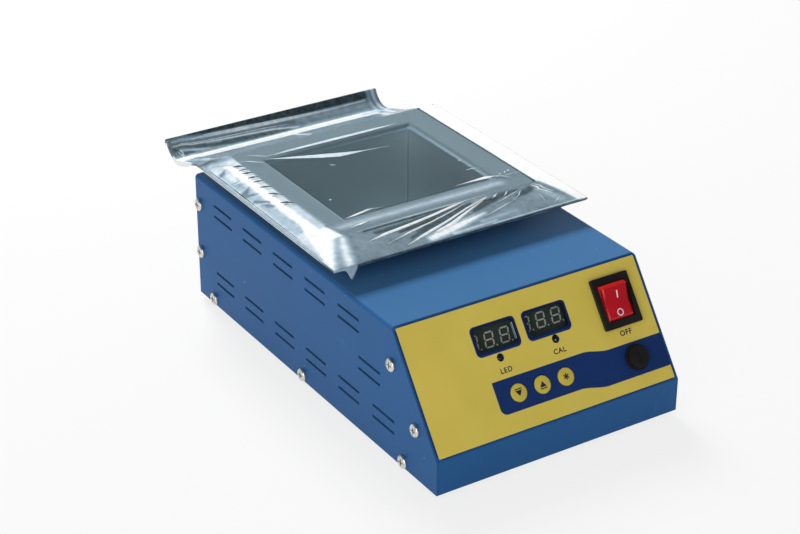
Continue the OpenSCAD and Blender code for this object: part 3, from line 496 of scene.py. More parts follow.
def printed_label(place):
    x, s = slope_places(place)
    swing = x.step(26.0, 44.0)
    band_top = 45.6 + swing * 3.0
    band_foot = 64.7 + x.step(17.5, 37.0) * 3.3
    over = (s - band_top).step(-0.12, 0.12)
    under = (band_foot - s).step(-0.12, 0.12)
    corner = past_corner(-31.0 - x, s - 60.7)
    beside = (4.0 - corner).step(-0.12, 0.12).math("MAXIMUM", x.step(-31.1, -31.0))
    band = over * under * beside
    side = 81.1 - abs(x)
    end = (s - 1.0).math("MINIMUM", 76.0 - s)
    rim = 1 - side.math("MINIMUM", end).step(0.45, 0.75)
    across = abs(abs(x - window_mid + 0.3) - window_apart)
    framed = 1 - past_corner(across - 11.8, abs(s - window_s - 0.5) - 5.6).step(3.05, 3.25)
    ink = (band + rim + framed).clamp()
    drift = mottle(place, 40, 3.0)
    dust = mottle(place, 800).step(0.66, 0.76)
    yellow = drift.blend((0.73, 0.57, 0.088, 1), (0.82, 0.655, 0.118, 1))
    yellow = (dust * 0.25).blend(yellow, (0.85, 0.74, 0.30, 1))
    navy = drift.blend((0.004, 0.028, 0.140, 1), (0.007, 0.039, 0.178, 1))
    navy = (dust * 0.18).blend(navy, (0.10, 0.18, 0.45, 1))
    wipes = mottle(place.vector("MULTIPLY", (0.2, 1.0, 1.0)), 300, 4.0)
    grain = mottle(place, 900)
    return look(ink.blend(yellow, navy), 0.30 + wipes * 0.16, bumped(grain, 0.06, 0.0002))


dress(finish_of("printed_label", {"Specular IOR Level": 0.4}, printed_label), "front_label")

# Two smoked windows lie in the label, each with a printed navy edge, and a three-figure display
# stands behind each of them.


def smoked(place):
    x, s = slope_places(place)
    across = abs(abs(x - window_mid) - window_apart)
    along = abs(s - window_s)
    edge = past_corner(across - (window_w / 2 - 3.6), along - (window_h / 2 - 3.2)).step(1.75, 1.95)
    haze = mottle(place, 120, 4.0).step(0.45, 0.8)
    # a painted reflection: a light line near the right end of the left window
    painted_window_reflection = (1 - abs(x + 10.6).step(0.06, 0.20)) * (1 - (along + 0.3).step(4.6, 5.6))
    body = edge.blend((0.010, 0.016, 0.016, 1), (0.008, 0.020, 0.085, 1))
    body = painted_window_reflection.blend(body, (0.70, 0.92, 0.95, 1))
    clear = 0.14 + haze * 0.08
    return {
        "Base Color": body,
        "Alpha": (clear + edge + painted_window_reflection).clamp(),
        "Roughness": 0.06 + haze * 0.12,
    }


dress(finish_of("smoked_window", {"Specular IOR Level": 0.6}, smoked), "window_left", "window_right")
display_black = drifting(1500, (0.055, 0.080, 0.068, 1), (0.075, 0.105, 0.090, 1), 0.45, 0.1)
segment_grey = drifting(700, (0.80, 0.86, 0.66, 1), (0.95, 0.98, 0.80, 1), 0.4, 0.15)
dress(finish_of("display_black", {}, display_black), "display_left", "display_right")
segments = finish_of("segment_grey", {}, segment_grey)


def slope_piece(name, body, finish):
    """Names the selected object, lays its flat drawing (x, s, out in mm) on the slope, and lets it
    ride on its body."""
    made = bpy.context.object
    made.name = name
    for vertex in made.data.vertices:
        vertex.co = on_slope(vertex.co.x, vertex.co.y, vertex.co.z)
    wholly(finish, made)
    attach(made, body)


def bar(x0, s0, x1, s1, wide, out, rings):
    """Adds to the rings a flat bar with pointed ends, from one place to the other."""
    run = Vector((x1 - x0, s1 - s0, 0))
    along = run.normalized() * wide / 2
    beside = Vector((-along.y, along.x, 0))
    start = Vector((x0, s0, 0))
    end = Vector((x1, s1, 0))
    ring = (
        start, start + along + beside, end - along + beside, end, end - along - beside,
        start + along - beside,
    )
    rings.append([Vector((p.x, p.y, out)) for p in ring])


def shown_mesh(name, mesh):
    """An object of this mesh in the scene, alone selected and active."""
    made = bpy.data.objects.new(name, mesh)
    bpy.context.scene.collection.objects.link(made)
    bpy.ops.object.select_all(action="DESELECT")
    made.select_set(True)
    bpy.context.view_layer.objects.active = made
    return made


def wholly(finish, made):
    """Gives the whole of a piece one finish."""
    made.data.materials.clear()
    made.data.materials.append(finish)


def face_outward():
    """Turns all faces of the active mesh outward."""
    bpy.ops.object.mode_set(mode="EDIT")
    bpy.ops.mesh.select_all(action="SELECT")
    bpy.ops.mesh.normals_make_consistent(inside=False)
    bpy.ops.object.mode_set(mode="OBJECT")


def flat_drawing(rings):
    """A mesh of flat shapes, one for each ring of places; it becomes the selected object."""
    sheet = bpy.data.meshes.new("drawing")
    corners = [place for ring in rings for place in ring]
    faces = []
    first = 0
    for ring in rings:
        faces.append(tuple(range(first, first + len(ring))))
        first += len(ring)
    sheet.from_pydata([tuple(p) for p in corners], [], faces)
    shown_mesh("drawing", sheet)
    bpy.ops.object.mode_set(mode="EDIT")
    bpy.ops.mesh.select_all(action="SELECT")
    bpy.ops.mesh.extrude_region_move(TRANSFORM_OT_translate={"value": (0, 0, -0.05)})
    face_outward()


digit_w = 5.4
digit_h = 8.2
digit_lean = 0.16
digit_pitch = 10.4
segment_w = 0.88
lit_face = -6.3 + 0.05
dot_r = 0.5
for side, centre, middle in (("left", -23.7, 22.3), ("right", 11.9, 20.6)):
    rings = []
    for place in (-digit_pitch, 0.0, digit_pitch):
        corners = {}
        for name, (u, v) in {
            "tl": (-1, -1), "tr": (1, -1), "ml": (-1, 0), "mr": (1, 0), "bl": (-1, 1), "br": (1, 1),
        }.items():
            s = middle + v * digit_h / 2
            x = centre + place + u * digit_w / 2 - v * digit_h / 2 * digit_lean
            corners[name] = (x, s)
        for ends in ("tl tr", "ml mr", "bl br", "tl ml", "tr mr", "ml bl", "mr br"):
            (x0, s0), (x1, s1) = (corners[end] for end in ends.split())
            gap_x = (x1 - x0) * 0.05
            gap_s = (s1 - s0) * 0.07
            bar(x0 + gap_x, s0 + gap_s, x1 - gap_x, s1 - gap_s, segment_w, lit_face, rings)
        dot_x = corners["br"][0] + 1.9
        dot_s = corners["br"][1]
        rings.append([
            Vector((dot_x + dot_r * math.cos(t), dot_s + dot_r * math.sin(t), lit_face))
            for t in (k * math.pi / 6 for k in range(12))
        ])
    flat_drawing(rings)
    slope_piece("figures_" + side, "case", segments)

# The lettering is screen printed on the label: the names of the lamp, the trimmer and the switch.
printed_navy = drifting(900, (0.010, 0.014, 0.045, 1), (0.018, 0.024, 0.065, 1), 0.35, 0.15)
navy_ink = finish_of("navy_ink", {}, printed_navy)
em_of_cap = 1.38


def lettering(name, words, x, s, tall, spread, weight):
    """Prints words round the place x, s, with capitals of that height."""
    bpy.ops.object.select_all(action="DESELECT")
    bpy.ops.object.text_add()
    made = bpy.context.object
    made.data.body = words
    made.data.align_x = "CENTER"
    made.data.align_y = "CENTER"
    made.data.size = tall * em_of_cap
    made.data.space_character = spread
    made.data.offset = weight
    bpy.ops.object.convert(target="MESH")
    made = bpy.context.object
    for vertex in made.data.vertices:
        vertex.co = (x + vertex.co.x, s - vertex.co.y, label_face + ink_out)
    slope_piece(name, "case", navy_ink)


lettering("word_lamp", "LED", -23.4, 41.4, 2.95, 1.18, 0.10)
lettering("word_trimmer", "CAL", 13.2, 40.5, 2.95, 1.18, 0.10)
lettering("word_switch", "OFF", 58.8, 42.5, 3.1, 1.15, 0.12)

# The indicator lamp is a clear lens set deep in its hole, and the trimmer is a blue square body
# whose black slotted screw shows through the label.


def slotted_screw(place):
    x, s = slope_places(place)
    # a painted glint: a light mark on the slot of the screw
    painted_slot_glint = 1 - abs(x - trimmer_x - 0.3).step(0.18, 0.30)
    painted_slot_glint = painted_slot_glint * (s - trimmer_s - 0.1).step(0.0, 0.2) * (1 - (s - trimmer_s - 0.9).step(0.0, 0.2))
    body = painted_slot_glint.blend((0.012, 0.012, 0.014, 1), (0.85, 0.85, 0.80, 1))
    return look(body, 0.35 + painted_slot_glint * 0.2)


# painted shade: the clear lens is coloured near black, for the shade of its deep hole
lens_in_painted_shade = drifting(600, (0.010, 0.008, 0.008, 1), (0.020, 0.012, 0.012, 1), 0.12, 0.1)
blue_moulding = drifting(200, (0.012, 0.06, 0.30, 1), (0.02, 0.09, 0.38, 1), 0.3, 0.15)
dress(finish_of("lens_in_painted_shade", {"Coat Weight": 0.3}, lens_in_painted_shade), "indicator_led")
dress(finish_of("blue_moulding", {}, blue_moulding), "trimmer_body")
dress(finish_of("slotted_screw", {}, slotted_screw), "trimmer_rotor")

# Three round keys stand just proud of the blue band, each moulded in yellow with a printed sign.


def eased(name, node, width, steps=2, angle=30, chamfer=None):
    """A copy of a CAD node with its edges rounded over, to stand for it. A chamfer is given as its
    width and how far out from the slope the edges lie that get it."""
    made = shown_mesh(name, nodes[node].data.copy())
    bpy.ops.object.mode_set(mode="EDIT")
    bpy.ops.mesh.select_all(action="SELECT")
    bpy.ops.mesh.remove_doubles(threshold=0.000005)
    bpy.ops.mesh.dissolve_limited(angle_limit=math.radians(1.0))
    bpy.ops.object.mode_set(mode="OBJECT")
    if chamfer:
        shape = bmesh.new()
        shape.from_mesh(made.data)
        least = slope_top.dot(outward) + chamfer[1] * MM
        brims = [
            edge for edge in shape.edges
            if edge.calc_face_angle(0) > 0.5 and min(end.co.dot(outward) for end in edge.verts) > least
        ]
        bmesh.ops.bevel(shape, geom=brims, offset=chamfer[0] * MM, segments=1, affect="EDGES")
        shape.to_mesh(made.data)
        shape.free()
    rounding = made.modifiers.new("rounding", "BEVEL")
    rounding.width = width * MM
    rounding.segments = steps
    rounding.limit_method = "ANGLE"
    rounding.angle_limit = math.radians(angle)
    rounding.use_clamp_overlap = True
    bpy.ops.object.modifier_apply(modifier="rounding")
    bpy.ops.object.shade_smooth_by_angle(angle=math.radians(35))
    return made


def yellow_moulding(place):
    drift = mottle(place, 160, 3.0)
    body = drift.blend((0.60, 0.47, 0.055, 1), (0.70, 0.56, 0.080, 1))
    return look(body, 0.38 + drift * 0.14, bumped(mottle(place, 1200), 0.05, 0.0002))


key_finish = finish_of("yellow_moulding", {}, yellow_moulding)
key_s = 55.2
key_face = 0.93
for key, x, sign in (("key_down", -20.6, "down"), ("key_up", -4.6, "up"), ("key_set", 11.4, "star")):
    made = eased(key + "_cap", key, 0.28, 3)
    wholly(key_finish, made)
    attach(made, key)
    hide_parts(key)
    rings = []
    if sign == "star":
        for turned in range(3):
            lean = math.radians(30 + 60 * turned)
            reach = Vector((math.cos(lean), math.sin(lean), 0)) * 2.1
            bar(x - reach.x, key_s - reach.y, x + reach.x, key_s + reach.y, 0.75, key_face, rings)
    else:
        way_down = 1 if sign == "down" else -1
        head = ((-2.2, -1.3), (2.2, -1.3), (0, 2.0))
        base = ((-2.2, -2.4), (2.2, -2.4), (2.2, -1.8), (-2.2, -1.8))
        for shape in (head, base):
            rings.append([Vector((x + u, key_s + way_down * v, key_face)) for u, v in shape])
    flat_drawing(rings)
    slope_piece(key + "_sign", key, navy_ink)

# The mains switch: a snap-in rocker of clear red plastic in a black frame, off at rest, with the
# two signs printed in white.


def clear_red(place):
    x, s = slope_places(place)
    deep = mottle(place, 70)
    body = deep.blend((0.46, 0.004, 0.014, 1), (0.60, 0.008, 0.022, 1))
    # painted light: the left and top flanks get their own red and an emitted glow
    painted_lit_flank = (1 - x.step(50.4, 50.7)).math("MAXIMUM", 1 - s.step(15.6, 15.9))
    # painted shade: the far right side of the paddle is darkened
    painted_shade_side = x.step(66.2, 66.5)
    body = (painted_lit_flank * 0.8).blend(body, (0.37, 0.02, 0.012, 1))
    body = (painted_shade_side * 0.7).blend(body, (0.16, 0.002, 0.006, 1))
    painted_glow_colour = painted_lit_flank.blend((0.010, 0.0, 0.0, 1), (0.20, 0.004, 0.004, 1))
    return {"Base Color": body, "Roughness": 0.22 + deep * 0.10, "Emission Color": painted_glow_colour}


red_rocker = finish_of("clear_red", {"Specular IOR Level": 0.35, "Emission Strength": 1.0}, clear_red)
rocker_s = 23.8
rocker_tilt = math.radians(18)
ring_face = label_face + 2.2 + ink_out
rocker = eased("rocker_paddle", "switch_rocker", 0.12, 2, chamfer=(1.4, 2.3))
wholly(red_rocker, rocker)
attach(rocker, "rocker")
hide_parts("switch_rocker")


def raised_face(s):
    """How far out the ink lies at s on the raised half of the paddle."""
    return ring_face + (rocker_s + 0.3 - s) * math.tan(rocker_tilt)


printed_white = drifting(900, (0.80, 0.78, 0.76, 1), (0.92, 0.90, 0.88, 1), 0.35, 0.15)
white_ink = finish_of("white_ink", {}, printed_white)
stroke = ((59.0, 18.2), (59.8, 18.2), (59.8, 22.4), (59.0, 22.4))
flat_drawing([[Vector((u, v, raised_face(v))) for u, v in stroke]])
slope_piece("sign_on", "rocker", white_ink)
flat_drawing([
    [Vector((58.4 + r * math.sin(a), 30.6 + r * math.cos(a), ring_face))
     for r, a in ((1.55, t), (2.15, t), (2.15, t + math.pi / 12), (1.55, t + math.pi / 12))]
    for t in (k * math.pi / 12 for k in range(24))
])
slope_piece("sign_off", "rocker", white_ink)

# The fuse: a black knob with a grooved rim and a slot, in a panel holder, and a glass cartridge.
knob = eased("fuse_cap", "fuse_knob", 0.35, 3)
wholly(black_plastic, knob)
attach(knob, "fuse_knob")
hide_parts("fuse_knob")


def cartridge_glass(place):
    along = place.vector("DOT_PRODUCT", tuple(outward), out=1) * TO_MM - slope_top.dot(outward) * TO_MM
    cap = abs(along + 12.2).step(4.8, 5.0)
    body = cap.blend((0.75, 0.80, 0.80, 1), (0.70, 0.68, 0.62, 1))
    return {"Base Color": body, "Metallic": cap, "Roughness": 0.10 + cap * 0.15}


dress(finish_of("cartridge_glass", {}, cartridge_glass), "fuse_cartridge")

# The film: clear stretch film that keeps the new plate and bath from scratches. It is drawn tight
# over the flange, down to the edges of the plate, into the gutter and over its lip, where it hangs
# in a short torn skirt. Its colour holds painted light: painted highlights in white along its
# creases and strips, and painted shade in its dark folds, bands and skirt.
pot_low, pot_high = (corner * TO_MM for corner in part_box("solder_pot"))
plate_low, plate_high = (corner * TO_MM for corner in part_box("splash_plate"))
flange_x, flange_front, flange_back, flange_top = pot_high.x, pot_low.y, pot_high.y, pot_high.z
edge_x, edge_front, plate_top = plate_high.x, plate_low.y, plate_high.z
plate_fall = 1.7
flat_past = 2.0
chute_y = plate_high.y - 40.8
roll_y, roll_z, roll_r = plate_high.y - 13.43, plate_top + 3.5, 13.0
roll_start, roll_end = -0.306, 1.184
low_y = roll_y + roll_r * math.sin(roll_start)
gutter_right = 66.6
film_over = 0.3


def eased_step(value):
    value = np.clip(value, 0, 1)
    return value * value * (3 - 2 * value)


def metal_top(x, y):
    """The height of the plate and its gutter, in millimetres, at places x, y."""
    side = (np.abs(x) - flange_x - flat_past) / (edge_x - flange_x - flat_past)
    front = (flange_front - flat_past - y) / (flange_front - flat_past - edge_front)
    rear = (y - flange_back - flat_past) / (chute_y - flange_back - flat_past)
    dish = plate_top - plate_fall * np.clip(np.maximum(side, np.maximum(front, rear)), 0, 1)
    low_z = roll_z - roll_r * math.cos(roll_start)
    along = (y - chute_y) / (low_y - chute_y)
    chute = plate_top - plate_fall + (low_z - plate_top + plate_fall) * along
    rolled = roll_z - np.sqrt(np.clip(roll_r ** 2 - (y - roll_y) ** 2, 0, None))
    return np.where(y < chute_y, dish, np.where(y < low_y, chute, rolled))


def film_height(x, y):
    """The height of the stretched film: flat on the flange, slack over the bath, straight to the
    edges of the plate, and close to the gutter."""
    side = (np.abs(x) - flange_x) / (edge_x - flange_x)
    front = (flange_front - y) / (flange_front - edge_front)
    fall = flange_top - plate_top + plate_fall
    flap = np.maximum(side, front)
    tent = flange_top - fall * np.clip(flap, 0, 1)
    rear = flange_top - 0.75 * np.clip(y - flange_back, 0, None)
    over_bath = np.clip(1 - (x / 51.0) ** 2, 0, 1) * np.clip(1 - ((y - 39.6) / 46.0) ** 2, 0, 1)
    taut = np.maximum(np.minimum(tent, rear), metal_top(x, y))
    loose = 0.5 * (1 - np.cos(np.clip(flap * 2 * math.pi, 0, 2 * math.pi)))
    ripple = 0.22 * np.sin(x * 0.55 + y * 0.21) + 0.18 * np.sin(x * 0.19 - y * 0.63 + 1.7)
    ripple = ripple * eased_step((flange_x - x) / 3) * (1 - 0.8 * eased_step((flange_front - y) / 2))
    return taut + film_over + loose * (0.35 + ripple) - 0.7 * over_bath


film_step = 0.95
skirt_drops = np.array((1.3, 0.95, 0.6, 0.3))
skirt_out = 0.45
middle_x = np.linspace(-edge_x - skirt_out, edge_x + skirt_out, 184)
skirt_n = len(skirt_drops)
column_x = np.concatenate((np.full(skirt_n, middle_x[0]), middle_x, np.full(skirt_n, middle_x[-1])))
column_drop = np.concatenate((skirt_drops, np.zeros(len(middle_x)), skirt_drops[::-1]))
flat_y = np.arange(edge_front - skirt_out, low_y, film_step)
rolled = np.linspace(roll_start + 0.02, roll_end, 22)
row_y = np.concatenate((np.full(skirt_n, flat_y[0]), flat_y, roll_y + roll_r * np.sin(rolled)))
row_drop = np.concatenate((skirt_drops, np.zeros(len(flat_y) + len(rolled))))
tip_y, tip_z = row_y[-1], roll_z - roll_r * math.cos(roll_end)
# round the lip of the gutter, as places behind its tip and above it
lip_wrap = (
    (0.55, 0.35), (1.25, 0.40), (1.75, 0.0), (1.85, -0.9), (1.85, -1.8), (1.8, -2.7), (1.7, -3.6),
)
x, y = np.meshgrid(column_x, row_y)
drop = np.maximum(*np.meshgrid(column_drop, row_drop))
closing = eased_step((y - 107.0) / 7.0)
x = np.where(x > 0, x * (1 - closing * (1 - gutter_right / edge_x)), x)
ragged = 1.0 + 0.14 * np.sin(x * 0.31 + 0.7) + 0.12 * np.sin(y * 0.37 + x * 0.13)
torn = 5.4 * np.exp(-((x + 75.6) / 2.6) ** 2) * (y < edge_front)
bulge = 1.9 * np.exp(-((y - 128.0) / 11.0) ** 2) * (x < -edge_x)
calm = 0.6 * (x < -edge_x) * eased_step((y + 44) / 12) * (1 - eased_step((y - 104) / 6))
z = film_height(x, y) - drop * (ragged + torn + bulge) * (1 - calm)
drop_of = np.vstack([drop] + [column_drop[None, :]] * len(lip_wrap))
for out, up in lip_wrap:
    hang = np.where(up < 0, up * (1.0 + 0.35 * np.sin(x[-1] * 0.23)), up)
    x = np.vstack((x, x[-1:]))
    y = np.vstack((y, np.full((1, x.shape[1]), tip_y + out)))
    z = np.vstack((z, tip_z + film_over + hang[None, :] - column_drop * 1.2))

# The film's tone, from dark through grey to white, which holds its painted highlights and painted
# shade, and how much it covers what is below.
tone = np.full(x.shape, 0.55)
cover = np.full(x.shape, 0.05)


def shade(weight, to_tone, to_cover):
    """Draws the film's tone and cover towards these, by a weight from 0 to 1."""
    tone[:] = tone + (to_tone - tone) * weight
    cover[:] = cover + (to_cover - cover) * weight


def streak(to_tone, to_cover, soft, *path):
    """A streak along a path of (x, y, half width), in millimetres, with soft edges."""
    weight = np.zeros(x.shape)
    for (x0, y0, wide0), (x1, y1, wide1) in zip(path, path[1:]):
        run_x, run_y = x1 - x0, y1 - y0
        along = np.clip(((x - x0) * run_x + (y - y0) * run_y) / (run_x ** 2 + run_y ** 2), 0, 1)
        off = np.hypot(x - x0 - along * run_x, y - y0 - along * run_y)
        wide = wide0 + (wide1 - wide0) * along
        weight = np.maximum(weight, 1 - eased_step((off - wide + soft) / (2 * soft)))
    shade(weight, to_tone, to_cover)


left_strip = eased_step((-x - flange_x + 3.2) / 1.6) * (1 - eased_step((y - 94) / 14))
right_strip = eased_step((x - flange_x - 0.4) / 1.2) * eased_step((chute_y + 4 - y) / 4)
in_front = flange_front - y
front_strip = eased_step(in_front / 1.6) * eased_step((x + flange_x + 3.0 + in_front * 0.57) / 8)
front_strip *= 1 - eased_step((x - 70.5 - in_front * 0.3) / 3)
chute = eased_step((y - flange_back - 1) / 3.0)
cloudy = 0.5 + 0.25 * np.sin(x * 0.21 + y * 0.13) + 0.25 * np.sin(y * 0.29 - x * 0.11 + 0.8)
# painted highlights: the strips on the left and on the right are drawn pale to white
shade(left_strip, 0.86, 0.80)
shade(chute, 0.50 + 0.06 * cloudy, 0.62)
streak(0.90, 0.42, 5.0, (-60, -16, 3.0), (50, -16, 3.0))
shade(eased_step((y - 139.6) / 1.6), 0.40, 0.80)
shade(right_strip, 1.0, 0.96)
# the strip on the left: a painted highlight white along its middle, pale towards the front, with
# dark lens folds of painted shade
streak(0.80, 0.82, 2.0, (-68.5, 22, 2.2), (-68.5, -8, 2.6))
streak(0.74, 0.80, 1.2, (-81, 24, 3.0), (-81, -4, 3.2))
streak(0.72, 0.80, 1.5, (-82.5, 88, 1.0), (-81.5, 60, 2.8), (-81, 30, 2.8))
streak(0.78, 0.80, 1.5, (-82, 99, 2.2), (-76, 92, 2.0))
streak(1.00, 0.96, 0.9, (-76, 92, 1.2), (-74.3, 84, 2.4), (-74.3, 0, 2.6), (-76, -16, 5.0), (-78, -50, 9.0))
streak(1.00, 0.94, 1.5, (-69, -14, 3.0), (-68, -26, 4.0))
# painted shade: the strip in front is drawn a darker grey
shade(front_strip, 0.46 + 0.08 * cloudy, 0.60)
streak(0.92, 0.88, 3.0, (-66, -28, 2.0), (-70, -36, 3.0), (-76, -52, 3.0))
streak(0.90, 0.86, 2.4, (-80.5, 82, 1.4), (-80.0, 72, 1.4))
for fold in (
    ((-79.0, 88.5, 0.6), (-82.0, 85.5, 1.7), (-83.4, 84.0, 1.0)),
    ((-77.6, 60.0, 0.4), (-80.6, 57.5, 1.5), (-83.6, 55.0, 2.2)),
    ((-77.2, 49.5, 0.4), (-80.0, 51.0, 1.2), (-83.4, 52.0, 1.8)),
    ((-77.6, 36.0, 1.2), (-80.0, 39.0, 1.6), (-83.0, 43.0, 1.2)),
    ((-77.8, 30.0, 1.0), (-79.4, 33.0, 1.4), (-81.6, 37.0, 0.6)),
):
    streak(0.40, 0.84, 1.0, *fold)
streak(0.94, 0.9, 0.6, (-82.4, 38.5, 0.5), (-79.0, 35.0, 0.4))
streak(0.50, 0.88, 0.5, (-85.9, 100, 0.5), (-85.9, -40, 0.4))
# the front strip: dark wedges of painted shade between the creases, and a painted highlight as a
# pale patch
for wedge in (
    ((-30, -45.2, 1.2), (-18, -41.6, 1.4), (-8, -38.4, 0.4)),
    ((-52, -26.9, 0.5), (-20, -26.9, 0.8), (8, -26.6, 0.3)),
    ((-46, -31.6, 1.6), (-30, -31.6, 2.2), (-8, -29.3, 1.4), (8, -27.4, 0.5)),
    ((-33, -37.2, 1.4), (-15, -34.2, 1.6), (8, -29.6, 1.0), (14, -28.2, 0.4)),
    ((-23, -41.4, 1.6), (-6, -38.0, 2.4), (8, -33.2, 2.6), (20, -29.4, 1.2)),
    ((-8, -42.4, 0.6), (12, -35.4, 0.8), (27, -29.6, 0.4)),
    ((18, -37.4, 1.4), (28, -33.4, 2.8), (42, -29.4, 2.4), (54, -28.6, 1.2)),
    ((50, -35.0, 1.6), (58, -32.6, 2.6), (62, -31.0, 2.4)),
):
    streak(0.09, 0.93, 0.9, *wedge)
streak(0.97, 0.92, 2.2, (-20, -50.6, 2.4), (-6, -47.4, 3.4), (6, -45.0, 2.6), (22, -42.0, 0.8))
streak(0.76, 0.80, 2.4, (16, -48.6, 0.8), (40, -47.4, 0.2))
streak(0.92, 0.88, 1.3, (-6, -52.2, 0.9), (24, -51.2, 0.3))
streak(0.62, 0.80, 2.0, (66, -34, 2.0), (72, -48, 3.0))
streak(0.84, 0.85, 0.5, (20, -53.4, 0.3), (84, -53.4, 0.3))
# the gutter: a broad painted white reflection along its floor, dark folds of painted shade above
# that run out from its left end, and a painted dark reflection in a band under the lip
streak(0.60, 0.80, 3.0, (-86, 120, 2.0), (-70, 104, 3.0))
streak(0.76, 0.84, 2.0, (-84, 124, 1.4), (-72, 108, 1.6))
streak(0.66, 0.80, 2.0, (54, 126, 2.0), (54, 112, 2.0), (52, 106, 1.0))
streak(0.90, 0.90, 1.6, (-9, 127, 1.8), (-8, 119, 1.8), (-5.5, 113, 1.6))
streak(0.84, 0.85, 1.5, (52, 128, 2.4), (53.5, 116, 1.8), (55, 111, 0.8))
streak(0.84, 0.85, 1.2, (61, 128, 1.8), (60, 116, 1.2))
streak(1.00, 0.97, 1.3, (-87, 132, 5.6), (-60, 132, 5.4), (-20, 131, 6.2), (20, 131.4, 6.2), (50, 131, 6.6))
streak(0.86, 0.92, 2.0, (50, 133, 4.6), (64, 133, 4.2))
streak(
    0.12, 0.93, 0.9,
    (-80, 146.6, 0.3), (-62, 143.6, 1.2), (-46, 142.0, 2.4), (-24, 141.2, 2.3), (-4, 139.9, 0.8),
)
streak(0.10, 0.93, 0.5, (-84, 145.4, 0.9), (-82, 144.6, 0.7))
streak(0.12, 0.93, 0.6, (-79, 141.2, 1.2), (-73, 141.0, 1.2))
streak(0.78, 0.88, 0.7, (-80, 144.2, 0.6), (-70, 142.4, 0.7), (-62, 141.0, 0.4))
streak(0.62, 0.85, 0.8, (-61, 145.2, 0.7), (-52, 144.4, 0.7))
streak(0.74, 0.88, 0.9, (-78, 147.0, 0.4), (-44, 145.0, 0.8), (-14, 143.4, 0.8), (2, 140.2, 0.5))
streak(0.55, 0.85, 1.6, (4, 145.0, 1.0), (40, 144.6, 1.4), (60, 144.0, 1.4))
streak(
    0.92, 0.92, 0.5, (-84, 149.2, 0.1), (-60, 148.5, 0.4), (-30, 147.7, 0.7), (1, 147.0, 0.6),
    (32, 146.8, 0.4), (57, 147.0, 0.2),
)
dark_lip = np.interp(x, (-86, -60, -30, 1, 32, 53), (150.5, 149.5, 148.8, 148.1, 147.7, 147.9)) - y
shade(1 - eased_step((dark_lip + 0.15) / 0.3), 0.04, 0.96)
shade(eased_step((x - 57) / 5) * eased_step((y - 126) / 10), 0.56 + 0.2 * np.sin(x * 1.4), 0.86)
# painted shade: the hanging skirt is drawn dark below the plate's edges, though pale at the torn corner on
# the front left
skirt = np.where(drop_of > 0, 1.0, 0.0)
shade(skirt * (x < 0), 0.08, 0.90)
shade(skirt * (y < edge_front) * (x > -70), 0.10, 0.85)
shade(skirt * (y < edge_front) * (x < -72), 0.70, 0.80)
shade(eased_step((-x - edge_x + 0.5) / 0.5) * eased_step((y - 112) / 6) * (y < 142), 0.98, 0.92)

count_rows, count_columns = x.shape
film_points = np.stack((x, y, z), axis=-1).reshape(-1, 3) * MM
first = np.arange(count_rows * count_columns).reshape(count_rows, count_columns)
film_faces = np.stack((first[:-1, :-1], first[:-1, 1:], first[1:, 1:], first[1:, :-1]), axis=-1)
film_mesh = bpy.data.meshes.new("film_sheet")
film_mesh.from_pydata(film_points.tolist(), [], film_faces.reshape(-1, 4).tolist())


def keep_tone(mesh, tones, covers):
    """Keeps the tone, with its painted highlights and shade, and the cover of every point with the mesh,
    for its material.
    """
    for name, values in (("film_tone", tones), ("film_cover", covers)):
        kept_values = mesh.attributes.new(name, "FLOAT", "POINT").data
        kept_values.foreach_set("value", np.ravel(values).astype(np.float32))


keep_tone(film_mesh, tone, cover)


def stretched_film(place):
    # the tone attribute holds the film's painted highlights and painted shade
    painted_light_tone = place.node("Attribute", {}, 2, attribute_name="film_tone")
    covers = place.node("Attribute", {}, 2, attribute_name="film_cover")
    crinkle = mottle(place, 240, 4.0, 0.6)
    lines = mottle(place.vector("MULTIPLY", (0.25, 1.0, 1.0)), 420)
    body = painted_light_tone.node(
        "ValToRGB", {0: painted_light_tone + (crinkle - 0.5) * 0.25},
        stops=[(0.0, (0.018, 0.036, 0.043, 1)), (0.4, (0.18, 0.26, 0.31, 1)),
               (0.75, (0.48, 0.63, 0.75, 1)), (0.93, (0.90, 0.97, 1.0, 1)), (1.0, (1.0, 1.0, 1.0, 1))],
    )
    veil = (covers * (0.80 + crinkle * 0.4)).clamp()
    return {
        "Base Color": body,
        "Alpha": veil,
        "Roughness": 0.10 + crinkle * 0.12,
        "Normal": bumped(crinkle * 0.6 + lines * 0.4, 0.35, 0.0006),
    }


film_finish = finish_of("stretch_film", {"Specular IOR Level": 0.7}, stretched_film)
film_mesh.materials.append(film_finish)
film_sheet = shown_mesh("film_sheet", film_mesh)
thick = film_sheet.modifiers.new("thickness", "SOLIDIFY")
thick.thickness = 0.12 * MM
thick.offset = 1.0
bpy.ops.object.modifier_apply(modifier="thickness")
bpy.ops.object.shade_smooth()
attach(film_sheet, "film")
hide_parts("protective_film")

# The hard creases stand up from the film as fine ridges; their tones are painted highlights and painted
# shade.
crease_foot = 0.24
ring_pitch = 1.6
crease_points, crease_faces, crease_tones = [], [], []


